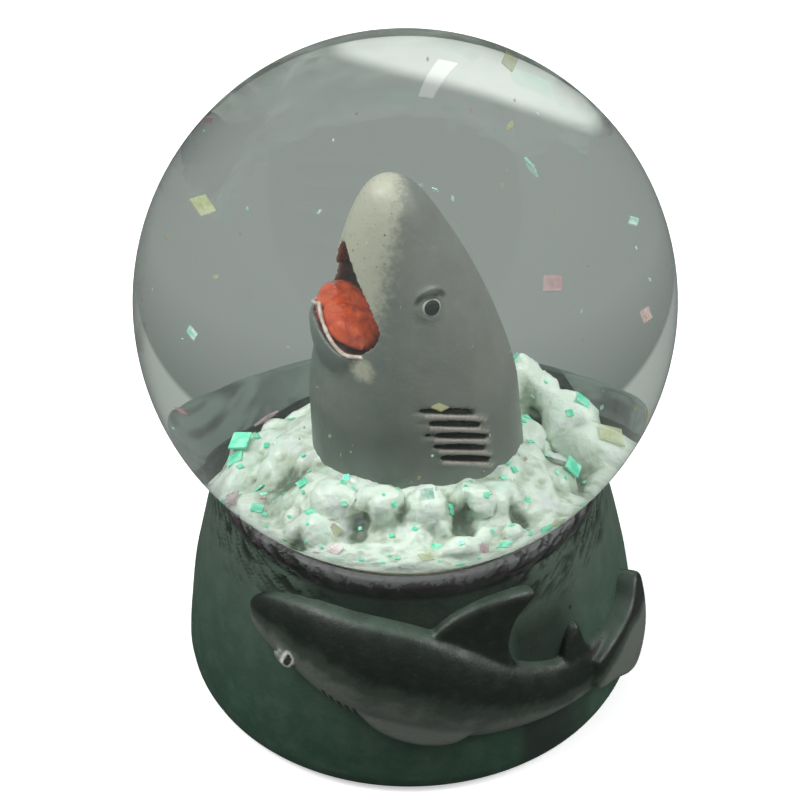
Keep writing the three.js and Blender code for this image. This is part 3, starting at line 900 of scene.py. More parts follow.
def glass_finish(name, index, tint):
    """A clear finish that bends light by an index and lets shadow and diffuse rays straight through."""
    glass = Finish(name, roughness=0.0, specular=0.5)
    glass.shader.inputs["Transmission Weight"].default_value = 1.0
    glass.shader.inputs["IOR"].default_value = index
    glass.colour(glass.mix(glass.noise(25, 2), (*tint, 1), (1, 1, 1, 1)))
    glass.bump(glass.noise(14, 1, 0.4), 0.012)
    clear = glass.add("BsdfTransparent")
    rays = glass.add("LightPath")
    either = glass.maths("MAXIMUM", rays.outputs["Is Shadow Ray"], rays.outputs["Is Diffuse Ray"])
    choice = glass.add("MixShader")
    glass.join(either, choice.inputs["Fac"])
    glass.join(glass.shader.outputs[0], choice.inputs[1])
    glass.join(clear.outputs[0], choice.inputs[2])
    glass.join(choice.outputs[0], glass.output.inputs["Surface"])
    return glass.material


outer_glass = glass_finish("glass against air", GLASS_INDEX, (0.97, 0.99, 0.98))
inner_glass = glass_finish("glass against water", GLASS_INDEX / WATER_INDEX, (0.98, 1.0, 0.99))

# %% Glass ball
inner_radius = BALL_RADIUS - GLASS_WALL
neck_angle = -math.degrees(math.acos(NECK_RADIUS / BALL_RADIUS))
bore_angle = -math.degrees(math.acos(NECK_BORE / inner_radius))
lip = arc(0.7, 180, 360, 8, ((NECK_RADIUS + NECK_BORE) / 2, NECK_FOOT + 0.7))
outside = arc(BALL_RADIUS, neck_angle, 90, 96)
inside = arc(inner_radius, 90, bore_angle, 96)
glass_outline = [(NECK_BORE, 24), (NECK_BORE, 21.5), *lip, (NECK_RADIUS, 24), (NECK_RADIUS, 27), *outside]
glass_shape = turned(glass_outline, 176)
inner_shape = turned([*inside, (NECK_BORE, 28), (NECK_BORE, 24)], 176)
for face in inner_shape.faces:
    face.material_index = 1
    face.smooth = True
inner_mesh = as_mesh(inner_shape, "inner wall")
glass_shape.from_mesh(inner_mesh)
bpy.data.meshes.remove(inner_mesh)
bmesh.ops.remove_doubles(glass_shape, verts=glass_shape.verts, dist=0.001)
bmesh.ops.recalc_face_normals(glass_shape, faces=glass_shape.faces)
glass_ball = finish_piece("glass_ball", glass_shape, [outer_glass, inner_glass],
                          replaces=["globe_glass"])

# %% [markdown]
# The two big lights would show in the ball as bright panels. A photographer hides them with a tent; here
# they are told not to light the glass, and only the narrow window light shows in it.

# %% Lights that the glass doesn't show
unlit = bpy.data.collections.new("not lit by the big lights")
unlit.objects.link(glass_ball)
for member in unlit.collection_objects:
    member.light_linking.link_state = "EXCLUDE"
for holder in (key_light, fill_light):
    holder.light_linking.receiver_collection = unlit

# %% [markdown]
# The water fills the ball. It bends no light itself, because the inner face of the glass already does,
# so it only needs the faint green tint of old water and its own surface.

# %% Water
water = Finish("faintly green water", roughness=0.3, specular=0.0)
water.shader.inputs["Alpha"].default_value = 0.02
water.colour(water.mix(water.noise(20, 3), paint(170, 190, 178), paint(206, 216, 210)))
WATER_BOTTOM = 31.6
water_radius = inner_radius - GAP
water_angle = -math.degrees(math.asin((BALL_HEIGHT - WATER_BOTTOM) / water_radius))
water_shape = turned([(0, WATER_BOTTOM), *arc(water_radius, water_angle, 90, 72)], 144)
print("water reaches up to", round(BALL_HEIGHT + water_radius, 1), "mm")

# %% [markdown]
# ## Shark's head
# The head is a casting a little taller than the ball's radius, pointing up, with its mouth open on
# the belly side. It is worked in a frame of its own, with the back at +x and one cheek at -y: a
# turned snout that leans towards the belly, a lower jaw, brows and gill lips are fused, and then the
# mouth and the gill slits are cut. The cuts come after the fusing, because a voxel remesh closes
# narrow slits. A last, finer remesh rounds their edges as paint does.

# %% Head form
HEAD_BOTTOM = 32.5
HEAD_VOXEL = 0.26
CUT_HEAD_VOXEL = 0.19
GILLS = 5
GILL_POINTS = 17
GILL_SLOPE = 0.74
GILL_DROP = 0.14
GILL_NOTCH = 3
GILL_LIP_DROP = 0.46
CHEEK_SIDE = 3.0
LID_RADIUS = 1.12
EYE_RADIUS = 0.98

HEAD_TOP = 69.9
lean = between([(HEAD_BOTTOM, 1.1), (45, 0.6), (57, -0.05), (64, -0.8), (HEAD_TOP, -1.35)])
snout = curve_through([(0, HEAD_TOP), (2.2, 69.0), (4.5, 64.3), (7.25, 55.3), (8.75, 48), (8.85, 43.5),
                       (8.3, HEAD_BOTTOM)], 10)
head_shape = turned([*snout, (0, HEAD_BOTTOM)], 96)
for vertex in head_shape.verts:
    vertex.co.x += lean(vertex.co.z)
    vertex.co.y *= 0.96
add_egg(head_shape, (3.0, 4.9, 5.4), (-5.5, 0, 53.0), Matrix.Rotation(-0.12, 4, "Y"), 48)
add_egg(head_shape, (2.1, 3.4, 9.0), (-5.2, 0, 43.5), Matrix(), 48)


def side_point(x, z, skin):
    """The place on the cheek at -y, found by looking at it from the side."""
    return skin.ray_cast(Vector((x, -30, z)), Vector((0, 1, 0)))[:2]


rough_skin = BVHTree.FromBMesh(head_shape)
EYE_X, EYE_Z = 1.15, 58.7
eye_place, eye_facing = side_point(EYE_X, EYE_Z, rough_skin)


def facing(normal, spin=0.0):
    """A turn that points a shape's z axis along a normal."""
    return normal.to_track_quat("Z", "Y").to_matrix().to_4x4() @ Matrix.Rotation(spin, 4, "Z")


def add_ring(shape, radius, thickness, place, normal, segments=40):
    """A round cord in a ring, lying on a surface."""
    start = Matrix.Translation((radius, 0, 0)) @ Matrix.Rotation(math.pi / 2, 4, "X")
    made = bmesh.ops.create_circle(shape, segments=12, radius=thickness, matrix=start)["verts"]
    edges = list({edge for vertex in made for edge in vertex.link_edges})
    before = set(shape.verts) - set(made)
    bmesh.ops.spin(shape, geom=made + edges, axis=(0, 0, 1), cent=(0, 0, 0), steps=segments,
                   angle=2 * math.pi, use_merge=True)
    ring = [vertex for vertex in shape.verts if vertex not in before]
    bmesh.ops.transform(shape, verts=ring, matrix=Matrix.Translation(place) @ facing(normal))


eye_places = []
for side in (1, -1):
    place = Vector((eye_place.x, eye_place.y * side, eye_place.z))
    normal = Vector((eye_facing.x, eye_facing.y * side, eye_facing.z))
    eye_places.append((place, normal))
    add_ring(head_shape, LID_RADIUS, 0.3, place - normal * 0.04, normal)
    brow = place + Vector((-0.1, 0.12 * side, 1.25))
    add_egg(head_shape, (1.3, 0.45, 0.3), brow, facing(normal).inverted() @ Matrix(), 24)


def gill_path(index, skin):
    """Places on the cheek along one slit, which drops towards the back of the head."""
    start, end = -1.2 + 0.42 * index, 5.5 + 0.08 * index
    height = 48.7 - 1.25 * index
    first = side_point(start, height, skin)[0]
    path = []
    for step in range(GILL_POINTS):
        x = start + (end - start) * step / (GILL_POINTS - 1)
        reach = side_point(x, height, skin)[0].y - first.y
        path.append(side_point(x, height - GILL_SLOPE * reach - GILL_DROP * (x - start), skin))
    return path


gill_paths = [gill_path(i, rough_skin) for i in range(GILLS)]
for path in gill_paths:
    for place, _ in path[GILL_NOTCH:]:
        for side in (1, -1):
            add_egg(head_shape, (0.5, 0.28, 0.17), (place.x, place.y * side, place.z - GILL_LIP_DROP),
                    Matrix(), 12)
head_shape = fused(head_shape, HEAD_VOXEL, 3)
uncut_skin = BVHTree.FromBMesh(head_shape)
print("eye at", [round(v, 1) for v in eye_place])

# %% [markdown]
# The mouth is cut as a wedge whose outline is seen from the belly side: an arch above, a corner low on
# each cheek, and a lower lip that rises to a point in the middle. Each gill slit is a row of thin flat
# eggs that overlap.

# %% Mouth and gills
MOUTH_FRONT = -13.0
MOUTH_BACK = -2.5

half_arch = curve_through([(0, 63.6), (1.5, 62.8), (3.6, 60.3), (5.2, 57.6), (5.85, 55.3), (5.1, 53.4)], 5)
half_lip = curve_through([(5.1, 53.4), (4.2, 53.5), (2.2, 54.9), (0, 56.3)], 4)
near_side = [(-y, z) for y, z in half_arch + half_lip[1:]]
far_side = [(-y * (1 - 0.34 * smoothstep(55, 59, z)), z) for y, z in reversed(near_side[1:-1])]
mouth_rim = near_side + far_side
cutter = bmesh.new()
opening = cutter.faces.new([cutter.verts.new((MOUTH_FRONT, y, z)) for y, z in mouth_rim])
deep = [part for part in bmesh.ops.extrude_face_region(cutter, geom=[opening])["geom"]
        if isinstance(part, bmesh.types.BMVert)]
bmesh.ops.translate(cutter, verts=deep, vec=(MOUTH_BACK - MOUTH_FRONT, 0, 0))
for vertex in deep:
    vertex.co.y *= 0.97
    vertex.co.z += 0.12 * (56.5 - vertex.co.z)
    if abs(vertex.co.y) < 4.9 and vertex.co.z < 57:
        vertex.co.z = min(vertex.co.z, 53.2)
bmesh.ops.recalc_face_normals(cutter, faces=cutter.faces)
head_shape = carved(head_shape, cutter)

slit_cutter = bmesh.new()
for path in gill_paths:
    for step, (place, _) in enumerate(path):
        thin = 0.16 + 0.16 * math.sin(math.pi * step / (GILL_POINTS - 1))
        for side in (1, -1):
            add_egg(slit_cutter, (0.42, 0.85, thin), (place.x, place.y * side, place.z), Matrix(), 12)
head_shape = carved(head_shape, slit_cutter)
head_shape = fused(head_shape, CUT_HEAD_VOXEL, 2)

# %% [markdown]
# ### Paint of the head
# The skin is a soft grey, darker and a little green towards the belly, and the underside of the snout
# is rubbed with cream that breaks into specks at its edge. Inside the mouth the paint is a dark
# purple-brown, and the gill slits are black with pale lips. The depth of each vertex below the uncut
# skin tells which of them lie in a cut.

# %% Head zones
MOUTH_BELOW = 50.5
SNOUT_EDGE = between([(51, -4.6), (57, -3.7), (60, -3.2), (64, -2.5), (HEAD_TOP, -0.5)])


def cut_depth(place):
    """How far a place lies below the skin as it was before the cuts."""
    found, normal, _, _ = uncut_skin.find_nearest(place)
    return (found - place).dot(normal)


def gill_nearness(place, drop, reach):
    """1 on the line that lies a little below each slit, for the pale lips."""
    best = 0.0
    if abs(place.y) <= CHEEK_SIDE or not 40 < place.z < MOUTH_BELOW:
        return best
    for path in gill_paths:
        for spot, _ in path[GILL_NOTCH:]:
            away = math.hypot((place.x - spot.x) * 0.8, place.z - (spot.z - drop))
            best = max(best, 1 - smoothstep(reach * 0.6, reach * 1.2, away))
    return best


def head_zones(shape):
    """Marks of the head's vertices: cream snout, belly, mouth, slits, their lips, painted shade under the
    brow and foot.
    """
    zones = {"snout": [], "belly": [], "mouth": [], "slit": [], "lip": [], "painted_brow_shade": [], "low": []}
    for vertex in shape.verts:
        place = vertex.co
        depth = cut_depth(place)
        in_mouth = place.z > MOUTH_BELOW
        on_cheek = abs(place.y) > CHEEK_SIDE
        zones["mouth"].append(smoothstep(0.12, 0.4, depth) if in_mouth else 0.0)
        zones["slit"].append(smoothstep(0.12, 0.34, depth) if not in_mouth else 0.0)
        zones["lip"].append(gill_nearness(place, GILL_LIP_DROP, 0.22))
        edge = SNOUT_EDGE(place.z)
        cream = smoothstep(2.3, -1.8, place.x - edge) * smoothstep(52.5, 60, place.z)
        corner = math.hypot(place.x + 5.3, (place.z - 52.3) * 0.8)
        zones["snout"].append(max(cream, 0.8 * (1 - smoothstep(0.3, 1.6, corner)) * on_cheek))
        zones["belly"].append(smoothstep(-1.2, -4.2, place.x))
        round_eye = math.hypot(place.x - EYE_X, place.z - EYE_Z)
        # Painted shade: a dark arc in the crease above each eye, under the brow.
        fold = (1 - smoothstep(0.12, 0.34, abs(round_eye - 1.5))) * smoothstep(0.2, 0.9, place.z - EYE_Z)
        zones["painted_brow_shade"].append(fold * on_cheek)
        zones["low"].append(smoothstep(50, 41, place.z))
    return zones


head_marks = head_zones(head_shape)
print("deepest cut:", round(max(cut_depth(vertex.co) for vertex in head_shape.verts), 1), "mm")

# %% Head finish
skin = Finish("grey shark skin", roughness=0.42, specular=0.45)
grain = skin.noise(5, 6, 0.6)
fine = skin.noise(0.7, 6, 0.65)
edge = skin.maths("ADD", skin.mark("snout"), skin.span(fine, 0.25, 0.75, -0.2, 0.2))
specks = skin.span(skin.noise(0.45, 4, 0.6, shift=0.3), 0.64, 0.7)
speck_zone = skin.maths("MULTIPLY", specks, skin.span(skin.mark("snout"), 0.15, 0.6, 0.05, 0.75))
palate = skin.mix(skin.span(skin.noise(1.0, 5, 0.6), 0.4, 0.65), paint(62, 40, 42), paint(112, 88, 92))
skin.colour(skin.coats(
    paint(118, 122, 115),
    (skin.mark("belly"), paint(102, 114, 107)),
    (skin.span(grain, 0.3, 0.7, 0, 0.5), paint(136, 140, 132)),
    (skin.maths("MULTIPLY", skin.mark("low"), 0.5), paint(104, 115, 108)),
    (skin.span(edge, 0.1, 0.95), paint(186, 187, 168)),
    (speck_zone, paint(92, 88, 74)),
    (skin.maths("MULTIPLY", skin.mark("lip"), 0.75), paint(178, 170, 160)),
    # Painted shade in the brow crease above each eye.
    (skin.mark("painted_brow_shade"), paint(58, 60, 58)),
    (skin.mark("mouth"), palate),
    (skin.mark("slit"), paint(22, 20, 18))))
skin.rough(skin.span(skin.mark("mouth"), 0, 1, 0.42, 0.16))
skin.bump(skin.noise(0.35, 4), 0.035)
skin.bump(skin.noise(2.6, 4), 0.14)

head_turn = Matrix.Rotation(HEAD_TURN, 4, "Z")
head_shape.verts.index_update()
bmesh.ops.transform(head_shape, verts=head_shape.verts, matrix=head_turn)
finish_piece("shark_head_cast", head_shape, [skin.material], replaces=["shark_head"],
             marks=stored(head_marks))

# %% [markdown]
# ### Tongue, lip and teeth
# The tongue is a fat orange-red pad that fills the lower jaw, glossy as wet paint. A cream lip runs
# along the jaw from corner to corner, and a row of blunt teeth stands inside the upper edge. The lip
# and the teeth follow the same curve as the mouth was cut to, so they cannot drift away from it.

# %% Tongue
LIP_BACK = 0.45
LIP_THICKNESS = 0.23
LIP_VOXEL = 0.11
tongue_shape = bmesh.new()
add_egg(tongue_shape, (3.2, 4.7, 1.8), (-5.0, 0, 54.4), Matrix.Rotation(0.36, 4, "Y"), 64)
for vertex in tongue_shape.verts:
    fold = math.exp(-(vertex.co.y / 0.55) ** 2) * 0.35
    ripple = 0.22 * noise.noise(vertex.co * 0.9) + 0.1 * noise.noise(vertex.co * 2.4)
    vertex.co.z += ripple - fold * smoothstep(54, 56, vertex.co.z)
    found, normal, _, _ = uncut_skin.find_nearest(vertex.co)
    depth = (found - vertex.co).dot(normal)
    vertex.co -= normal * max(0.0, LIP_BACK - depth)
bmesh.ops.transform(tongue_shape, verts=tongue_shape.verts, matrix=head_turn)
tongue = Finish("wet orange-red tongue", roughness=0.14, specular=0.6)
streak = tongue.noise(1.5, 5, 0.6, 0.5)
tongue.colour(tongue.mix(tongue.span(streak, 0.3, 0.7), paint(178, 58, 30), paint(226, 98, 50)))
tongue.shader.inputs["Coat Weight"].default_value = 0.5
tongue.shader.inputs["Coat Roughness"].default_value = 0.08
tongue.bump(tongue.noise(0.5, 4), 0.06)
tongue.bump(streak, 0.2)
finish_piece("tongue", tongue_shape, [tongue.material])


# %% Lip and teeth
def mouth_front(y, z, inset=0.0):
    """The place on the uncut skin in front of a point of the mouth's outline."""
    found = uncut_skin.ray_cast(Vector((-20, y, z)), Vector((1, 0, 0)))[0]
    return Vector((found.x + inset, y, z))


lip_line = [mouth_front(y, z, 0.25) for y, z in half_lip]
lip_path = lip_line + [Vector((p.x, -p.y, p.z)) for p in reversed(lip_line[:-1])]
gum_shape = bmesh.new()
for i in range(len(lip_path) * 3 - 2):
    start = lip_path[i // 3]
    end = lip_path[min(i // 3 + 1, len(lip_path) - 1)]
    place = start.lerp(end, (i % 3) / 3)
    size = LIP_THICKNESS + 0.06 * noise.noise(place * 2)
    add_egg(gum_shape, (size, size, size * 1.05), place, Matrix(), 10)
gum_shape = fused(gum_shape, LIP_VOXEL, 2)
bmesh.ops.transform(gum_shape, verts=gum_shape.verts, matrix=head_turn)
cream = Finish("cream lip", roughness=0.3, specular=0.5)
wear = cream.span(cream.noise(0.8, 5), 0.35, 0.7)
cream.colour(cream.mix(wear, paint(196, 176, 160), paint(228, 222, 208)))
cream.bump(cream.noise(0.4, 3), 0.05)
finish_piece("lower_lip", gum_shape, [cream.material])

TEETH = 9
ivory = Finish("painted teeth", roughness=0.25, specular=0.5)
ivory.colour(ivory.mix(ivory.noise(0.8, 4), paint(168, 148, 150), paint(206, 196, 194)))
ivory.bump(ivory.noise(0.3, 2), 0.03)
teeth_shape = bmesh.new()
for side in (1, -1):
    for i in range(TEETH):
        y, z = half_arch[round(2 + (len(half_arch) - 6) * i / (TEETH - 1))]
        front = mouth_front(y, z)
        root = Vector((front.x + 1.1, y * 0.88 * side, z - 0.3))
        tooth = Matrix.Translation(root) @ Matrix.Rotation(math.radians(-75), 4, "Y")
        bmesh.ops.create_cone(teeth_shape, cap_ends=True, cap_tris=True, segments=8, radius1=0.24,
                              radius2=0.03, depth=0.7, matrix=tooth)
bmesh.ops.recalc_face_normals(teeth_shape, faces=teeth_shape.faces)
bmesh.ops.transform(teeth_shape, verts=teeth_shape.verts, matrix=head_turn)
finish_piece("teeth", teeth_shape, [ivory.material])

# %% [markdown]
# ### Eyes
# Each eye is a low glossy dome set in the ring of the lids, dark in the middle with a pale rim. The
# colour follows the distance from the dome's own axis, kept at its vertices.

# %% Eyes
eye_finish = Finish("painted eye", roughness=0.12, specular=0.6)
iris = eye_finish.mix(eye_finish.span(eye_finish.mark("from_axis"), 0.74, 0.84), paint(28, 34, 32),
                      paint(176, 182, 172))
iris = eye_finish.mix(eye_finish.span(eye_finish.noise(0.5, 4), 0.5, 0.8, 0, 0.25), iris, paint(96, 104, 100))
eye_finish.colour(iris)
eye_finish.bump(eye_finish.noise(0.6, 2), 0.02)
eyes_shape = bmesh.new()
eye_axes = []
for place, normal in eye_places:
    add_egg(eyes_shape, (EYE_RADIUS, EYE_RADIUS, 0.5), place, facing(normal), 32)
    eye_axes.append((head_turn @ place, (head_turn.to_3x3() @ normal)))
bmesh.ops.transform(eyes_shape, verts=eyes_shape.verts, matrix=head_turn)


def from_axis(vertex):
    """Distance from the nearer eye's axis, 1 at the dome's edge."""
    place, normal = min(eye_axes, key=lambda axis: (vertex.co - axis[0]).length)
    away = vertex.co - place
    return (away - normal * away.dot(normal)).length / EYE_RADIUS


finish_piece("shark_eyes", eyes_shape, [eye_finish.material],
             marks={"from_axis": from_axis})

# %% [markdown]
# ## Sea foam
# The foam is a lumpy casting that fills the neck and rises round the head. A turned mound, crests and a
# crowd of seeded lumps are fused, and then each vertex is pushed along its normal by noise, for curds
# and froth, and drawn down in a few hollows. Where a settled flake lies, the surface is drawn to it, so
# that no flake floats above the foam or sinks in it.

# %% Foam form
FOAM_TOP = 40.5
REAR_DRAW = 0.15
FOAM_LUMPS = 44
FOAM_VOXEL = 0.3
SEAT_REACH = 4.0
SEAT_SPREAD = 1.6
HOLLOW_DEPTH = 0.9

slope = [(FOAM_RADIUS, 32.2), (FOAM_RADIUS - 1.6, 34.6), (13.4, 36.8), (10.4, FOAM_TOP - 0.8),
         (7.5, FOAM_TOP)]
rise_line = curve_through(slope, 6)
foam_shape = turned([(0, FOAM_BOTTOM), (FOAM_RADIUS - 0.5, FOAM_BOTTOM), (FOAM_RADIUS, FOAM_BOTTOM + 0.8),
                     *rise_line, (0, FOAM_TOP)], 96)
crests = [(8.6, 8.8, 40.3, 1.6), (10.0, 8.6, 38.6, 1.6), (11.8, 7.6, 37.3, 1.9), (13.4, 5.4, 36.0, 2.0),
          (14.4, 2.4, 34.8, 1.8), (-12.0, 3.2, 34.6, 2.2), (-10.4, 5.8, 35.6, 1.8), (-8.4, -9.6, 36.0, 2.5),
          (4.6, -12.6, 35.2, 2.4), (-6.4, -8.2, 39.4, 1.8), (-2.6, -9.8, 39.6, 1.9), (1.6, -10.2, 39.5, 1.8),
          (5.6, -9.2, 39.6, 1.7)]
for vertex in foam_shape.verts:
    drawn_in = 1 - REAR_DRAW * smoothstep(-8, 5, vertex.co.y)
    vertex.co.x *= drawn_in
    vertex.co.y *= drawn_in
for x, y, z, size in crests:
    add_egg(foam_shape, (size, size, size), (x, y, z), Matrix(), 24)

dice = random.Random(4)
mound_height = between([(7.5, FOAM_TOP), (10.4, FOAM_TOP - 0.8), (13.4, 36.8), (16.4, 34.2), (18, 32.2)])
for _ in range(FOAM_LUMPS):
    turn = dice.uniform(0, 2 * math.pi)
    out = dice.uniform(9.5, 16.2)
    size = dice.uniform(1.0, 2.2)
    drawn_in = 1 - REAR_DRAW * smoothstep(-0.6, 0.4, math.sin(turn))
    where = (out * drawn_in * math.cos(turn), out * drawn_in * math.sin(turn),
             mound_height(out) - size * dice.uniform(0.35, 0.8))
    squash = dice.uniform(0.6, 1.0)
    add_egg(foam_shape, (size, size * dice.uniform(0.7, 1.2), size * squash), where,
            Matrix.Rotation(turn, 4, "Z"), 14)
foam_shape = fused(foam_shape, FOAM_VOXEL, 2)

# %% Foam surface
flake_seats = []
for name, node in frame["nodes"].items():
    if name.startswith("settled_flake"):
        low, high = node_box(name)
        widest = max(node.data.polygons, key=lambda face: face.area)
        up = widest.normal if widest.normal.z > 0 else -widest.normal
        flake_seats.append(((low + high) / 2, Vector(up)))
print(len(flake_seats), "flakes lie on the foam")

HOLLOWS = [(-10.2, -3.0, 2.6), (-4.6, -11.2, 1.5), (4.8, -11.0, 1.8), (-10.6, -11.4, 1.4), (12.0, 0.6, 2.2),
           (9.6, -8.6, 1.2), (9.6, 6.6, 1.2)]


def hollow_nearness(place, spread):
    """1 in the middle of a hollow, fading out over its size."""
    nearest = 0.0
    for x, y, size in HOLLOWS:
        off = (place.x - x) ** 2 + (place.y - y) ** 2
        nearest = max(nearest, math.exp(-off / (size * size * spread)))
    return nearest


def ridged(place, size, seed):
    """Noise with sharp crests and round hollows, from about -1 to 1."""
    return 1 - 2.4 * abs(noise.noise(place / size + Vector((seed, seed, seed))))


foam_shape.normal_update()
pushes = []
for vertex in foam_shape.verts:
    place = vertex.co
    reach = math.hypot(place.x, place.y)
    loose = smoothstep(31.8, 33.6, place.z) * smoothstep(18.4, 17.6, reach)
    rim = smoothstep(14.5, 17, reach)
    curds = 0.5 * ridged(place, 4.6, 3) + 0.2 * ridged(place, 2.2, 7) * (1 - 0.5 * rim)
    froth = 0.08 * noise.noise(place * 2.2) + 0.09 * ridged(place, 0.9, 11)
    dip = hollow_nearness(place, 0.6)
    pushes.append(loose * (curds * (1 - 0.6 * dip) + froth) - loose * HOLLOW_DEPTH * dip)
for vertex, push in zip(foam_shape.verts, pushes):
    vertex.co += vertex.normal * push
for centre, up in flake_seats:
    seat = centre - up * 0.16
    for vertex in foam_shape.verts:
        away = vertex.co - seat
        if away.length < SEAT_REACH and vertex.co.z > 31.5:
            share = math.exp(-(away - up * away.dot(up)).length_squared / SEAT_SPREAD)
            vertex.co -= up * away.dot(up) * share
foam_shape.normal_update()

# %% [markdown]
# The paint of the foam is pearly white-green, thin on the crests, and painted shade turns the hollows
# olive. A smoothed copy tells how deep each vertex lies below its surroundings, which is where the
# painted shade lies.

# %% Foam hollows
soft_copy = foam_shape.copy()
smoothed(soft_copy, 14)
sunk_depth = [(soft.co - vertex.co).dot(vertex.normal) for vertex, soft in zip(foam_shape.verts, soft_copy.verts)]
soft_copy.free()
foam_shape.verts.index_update()


def hollow_at(vertex):
    """0 on crests and 1 in hollows, for the painted shade."""
    dip = hollow_nearness(vertex.co, 0.7)
    return min(1.0, max(0.0, 0.24 + sunk_depth[vertex.index] * 2.1 + 0.6 * dip))


# %% Foam finish
pearl = Finish("pearly foam paint", roughness=0.36, specular=0.5)
patch = pearl.noise(3.0, 6, 0.6, 0.4)
hollow = pearl.maths("ADD", pearl.mark("hollow"), pearl.span(patch, 0.25, 0.75, -0.2, 0.2))
tint = pearl.noise(2.2, 3, 0.5, shift=0.7)
stars = pearl.span(pearl.cells(0.55), 0.05, 0.1, 1, 0)
pearl.colour(pearl.coats(
    paint(227, 242, 227),
    # Painted shade: the hollows are painted olive and darker.
    (pearl.span(hollow, 0.15, 0.5), paint(190, 206, 184)),
    (pearl.span(hollow, 0.45, 0.9), paint(96, 114, 92)),
    (pearl.span(tint, 0.55, 0.7, 0, 0.35), paint(206, 206, 222)),
    (pearl.span(tint, 0.45, 0.3, 0, 0.35), paint(178, 226, 204)),
    (pearl.maths("MULTIPLY", stars, 0.6), paint(196, 255, 226))))
pearl.shader.inputs["Coat Weight"].default_value = 0.35
pearl.shader.inputs["Coat Roughness"].default_value = 0.2
pearl.rough(pearl.span(pearl.noise(0.8, 4), 0.3, 0.7, 0.28, 0.5))
pearl.bump(pearl.noise(0.4, 5, 0.65), 0.09)
pearl.bump(pearl.cells(0.7), 0.06)
foam_skin = BVHTree.FromBMesh(foam_shape)
finish_piece("sea_foam", foam_shape, [pearl.material], replaces=["foam_insert"],
             marks={"hollow": hollow_at})

# %% [markdown]
# The water is finished last of the castings, because it lies round them. The head and the foam are cut
# out of it with simple copies of their CAD shapes, merged first, since a CAD mesh is loose triangles.


# %% Water round the figure
def cad_copy(node):
    """A CAD node's shape in millimetres, with its loose triangles merged."""
    copy = bmesh.new()
    copy.from_mesh(frame["nodes"][node].data)
    bmesh.ops.scale(copy, vec=(1 / MM, 1 / MM, 1 / MM), verts=copy.verts)
    bmesh.ops.remove_doubles(copy, verts=copy.verts, dist=0.001)
    return copy


for node in ("foam_insert", "shark_head"):
    water_shape = carved(water_shape, cad_copy(node))
finish_piece("water", water_shape, [water.material], replaces=["liquid_fill"])

# %% [markdown]
# ## Glitter
# The large square flakes are the CAD model's own thin plates, so they only get their foil: a thin
# metallic film whose colour turns with the light. Each finer speck is a squashed cube, because a speck
# is too small for more. Some lie on the foam and lift with the settled flakes, and some drift in the
# water with the others.

# %% Foil
FOILS = {
    "turquoise_glitter": (paint(92, 226, 180), paint(170, 250, 220), 0.95),
    "pink_glitter": (paint(206, 176, 180), paint(224, 204, 206), 0.5),
    "gold_glitter": (paint(204, 212, 168), paint(222, 228, 198), 0.5),
}


def foil(name, dark, light, cover, where="settled"):
    """A foil of two mixed shades that glows faintly with the lighter one as a painted glint; cover is how
    much of the view behind it hides.
    """
    flake = Finish(f"{where} {name.replace('_', ' ')} foil", roughness=0.22, specular=0.6)
    flake.colour(flake.mix(flake.span(flake.noise(0.9, 3), 0.35, 0.65), dark, light))
    flake.shader.inputs["Metallic"].default_value = 0.25
    flake.shader.inputs["Thin Film Thickness"].default_value = 420.0
    flake.bump(flake.noise(0.5, 2), 0.03)
    flake.rough(flake.span(flake.noise(0.7, 3), 0.3, 0.7, 0.15, 0.35))
    # A painted glow: the foil gives off a little light of its lighter shade, though it is no lamp.
    flake.shader.inputs["Emission Strength"].default_value = 0.12
    flake.feed(flake.shader.inputs["Emission Color"], light)
    flake.shader.inputs["Alpha"].default_value = cover
    return flake.material


foils = {slot: foil(slot, *shades) for slot, shades in FOILS.items()}
DRIFT_FOILS = {
    "turquoise_glitter": (paint(130, 204, 180), paint(226, 246, 238), 0.6),
    "pink_glitter": (paint(178, 138, 140), paint(190, 160, 162), 0.4),
    "gold_glitter": (paint(176, 178, 122), paint(190, 192, 150), 0.4),
}
drift_foils = {slot: foil(slot, *shades, "drifting") for slot, shades in DRIFT_FOILS.items()}
slot_of = {part["node"]: part["material_slot"] for part in frame["record"]["subparts"]}
foiled = 0
for name, node in frame["nodes"].items():
    if slot_of.get(name) in foils:
        shades = drift_foils if name.startswith("drifting") else foils
        for holder in node.material_slots:
            holder.material = shades[slot_of[name]]
        foiled += 1
print(foiled, "flakes foiled")


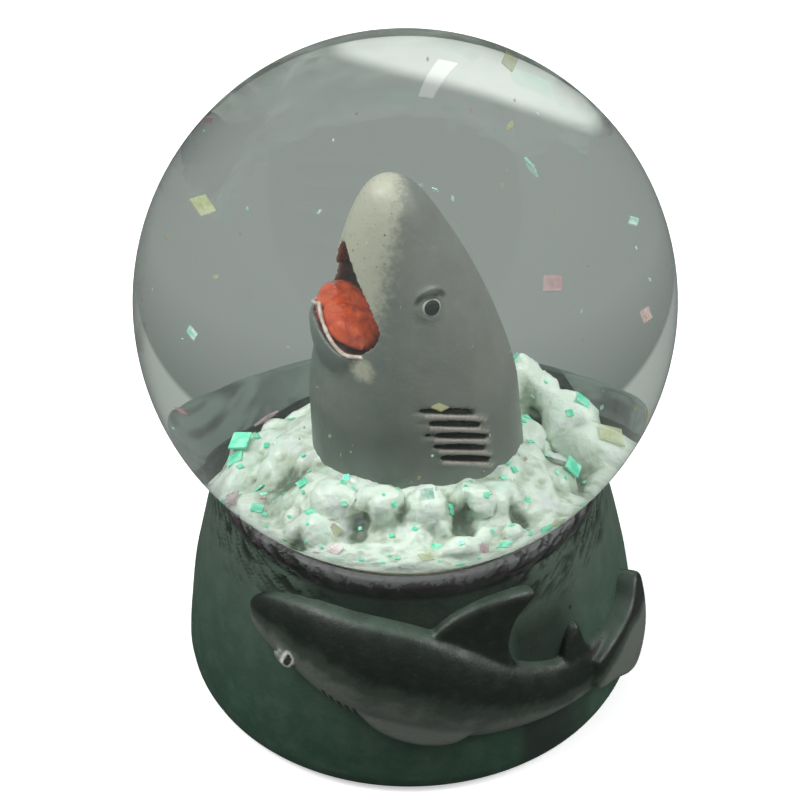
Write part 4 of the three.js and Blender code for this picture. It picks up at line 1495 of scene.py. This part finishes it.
# %% Specks
def add_speck(shape, place, side, turn):
    """A thin square of foil."""
    flat = Matrix.Diagonal((side, side, SPECK_THICKNESS, 1))
    bmesh.ops.create_cube(shape, size=1, matrix=Matrix.Translation(place) @ turn @ flat)


def tumble(dice):
    """A random turn."""
    x, y, z = (Matrix.Rotation(dice.uniform(0, math.pi), 4, axis) for axis in "XYZ")
    return x @ y @ z


SETTLED_SPECKS = 170
DRIFTING_SPECKS = 80
SPECK_THICKNESS = 0.06

dice = random.Random(11)
lying = {slot: bmesh.new() for slot in foils}
for i in range(SETTLED_SPECKS):
    turn = dice.uniform(0, 2 * math.pi)
    out = 17.4 * math.sqrt(dice.uniform(0.16, 1))
    place, up, _, _ = foam_skin.ray_cast(Vector((out * math.cos(turn), out * math.sin(turn), 50)),
                                         Vector((0, 0, -1)))
    if place is None or place.z > 44:
        continue
    slot = {3: "pink_glitter", 9: "gold_glitter"}.get(i % 14, "turquoise_glitter")
    side = dice.uniform(0.25, 0.55) if i % 9 else 1.0
    add_speck(lying[slot], place + up * 0.08, side, facing(up, dice.uniform(0, 3)))

drifting = {slot: bmesh.new() for slot in foils}
for i in range(DRIFTING_SPECKS):
    turn = dice.uniform(0, 2 * math.pi)
    height = dice.triangular(43, 80, 44)
    widest = math.sqrt(max(0.0, (inner_radius - 1.2) ** 2 - (height - BALL_HEIGHT) ** 2))
    out = dice.uniform(min(13.0, widest * 0.7), widest)
    place = Vector((out * math.cos(turn), out * math.sin(turn), height))
    slot = ("pink_glitter", "gold_glitter", "turquoise_glitter")[i % 3]
    add_speck(drifting[slot], place, dice.uniform(0.15, 0.45), tumble(dice))

for slot in foils:
    colour = slot.split("_")[0]
    finish_piece(f"settled_{colour}_specks", lying[slot], [foils[slot]], "settled_glitter")
    finish_piece(f"drifting_{colour}_specks", drifting[slot], [drift_foils[slot]], "drifting_glitter")

# %% [markdown]
# ## Sizes of the CAD and finished models
# The finished model must fill the same box as the CAD model, give or take the roughness of its
# surfaces. Both boxes are printed.

# %% Sizes
looks_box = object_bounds()
for name, box in (("CAD", cad_box), ("looks", looks_box)):
    print(name, [round((high - low) / MM, 2) for low, high in zip(*box)], "mm")
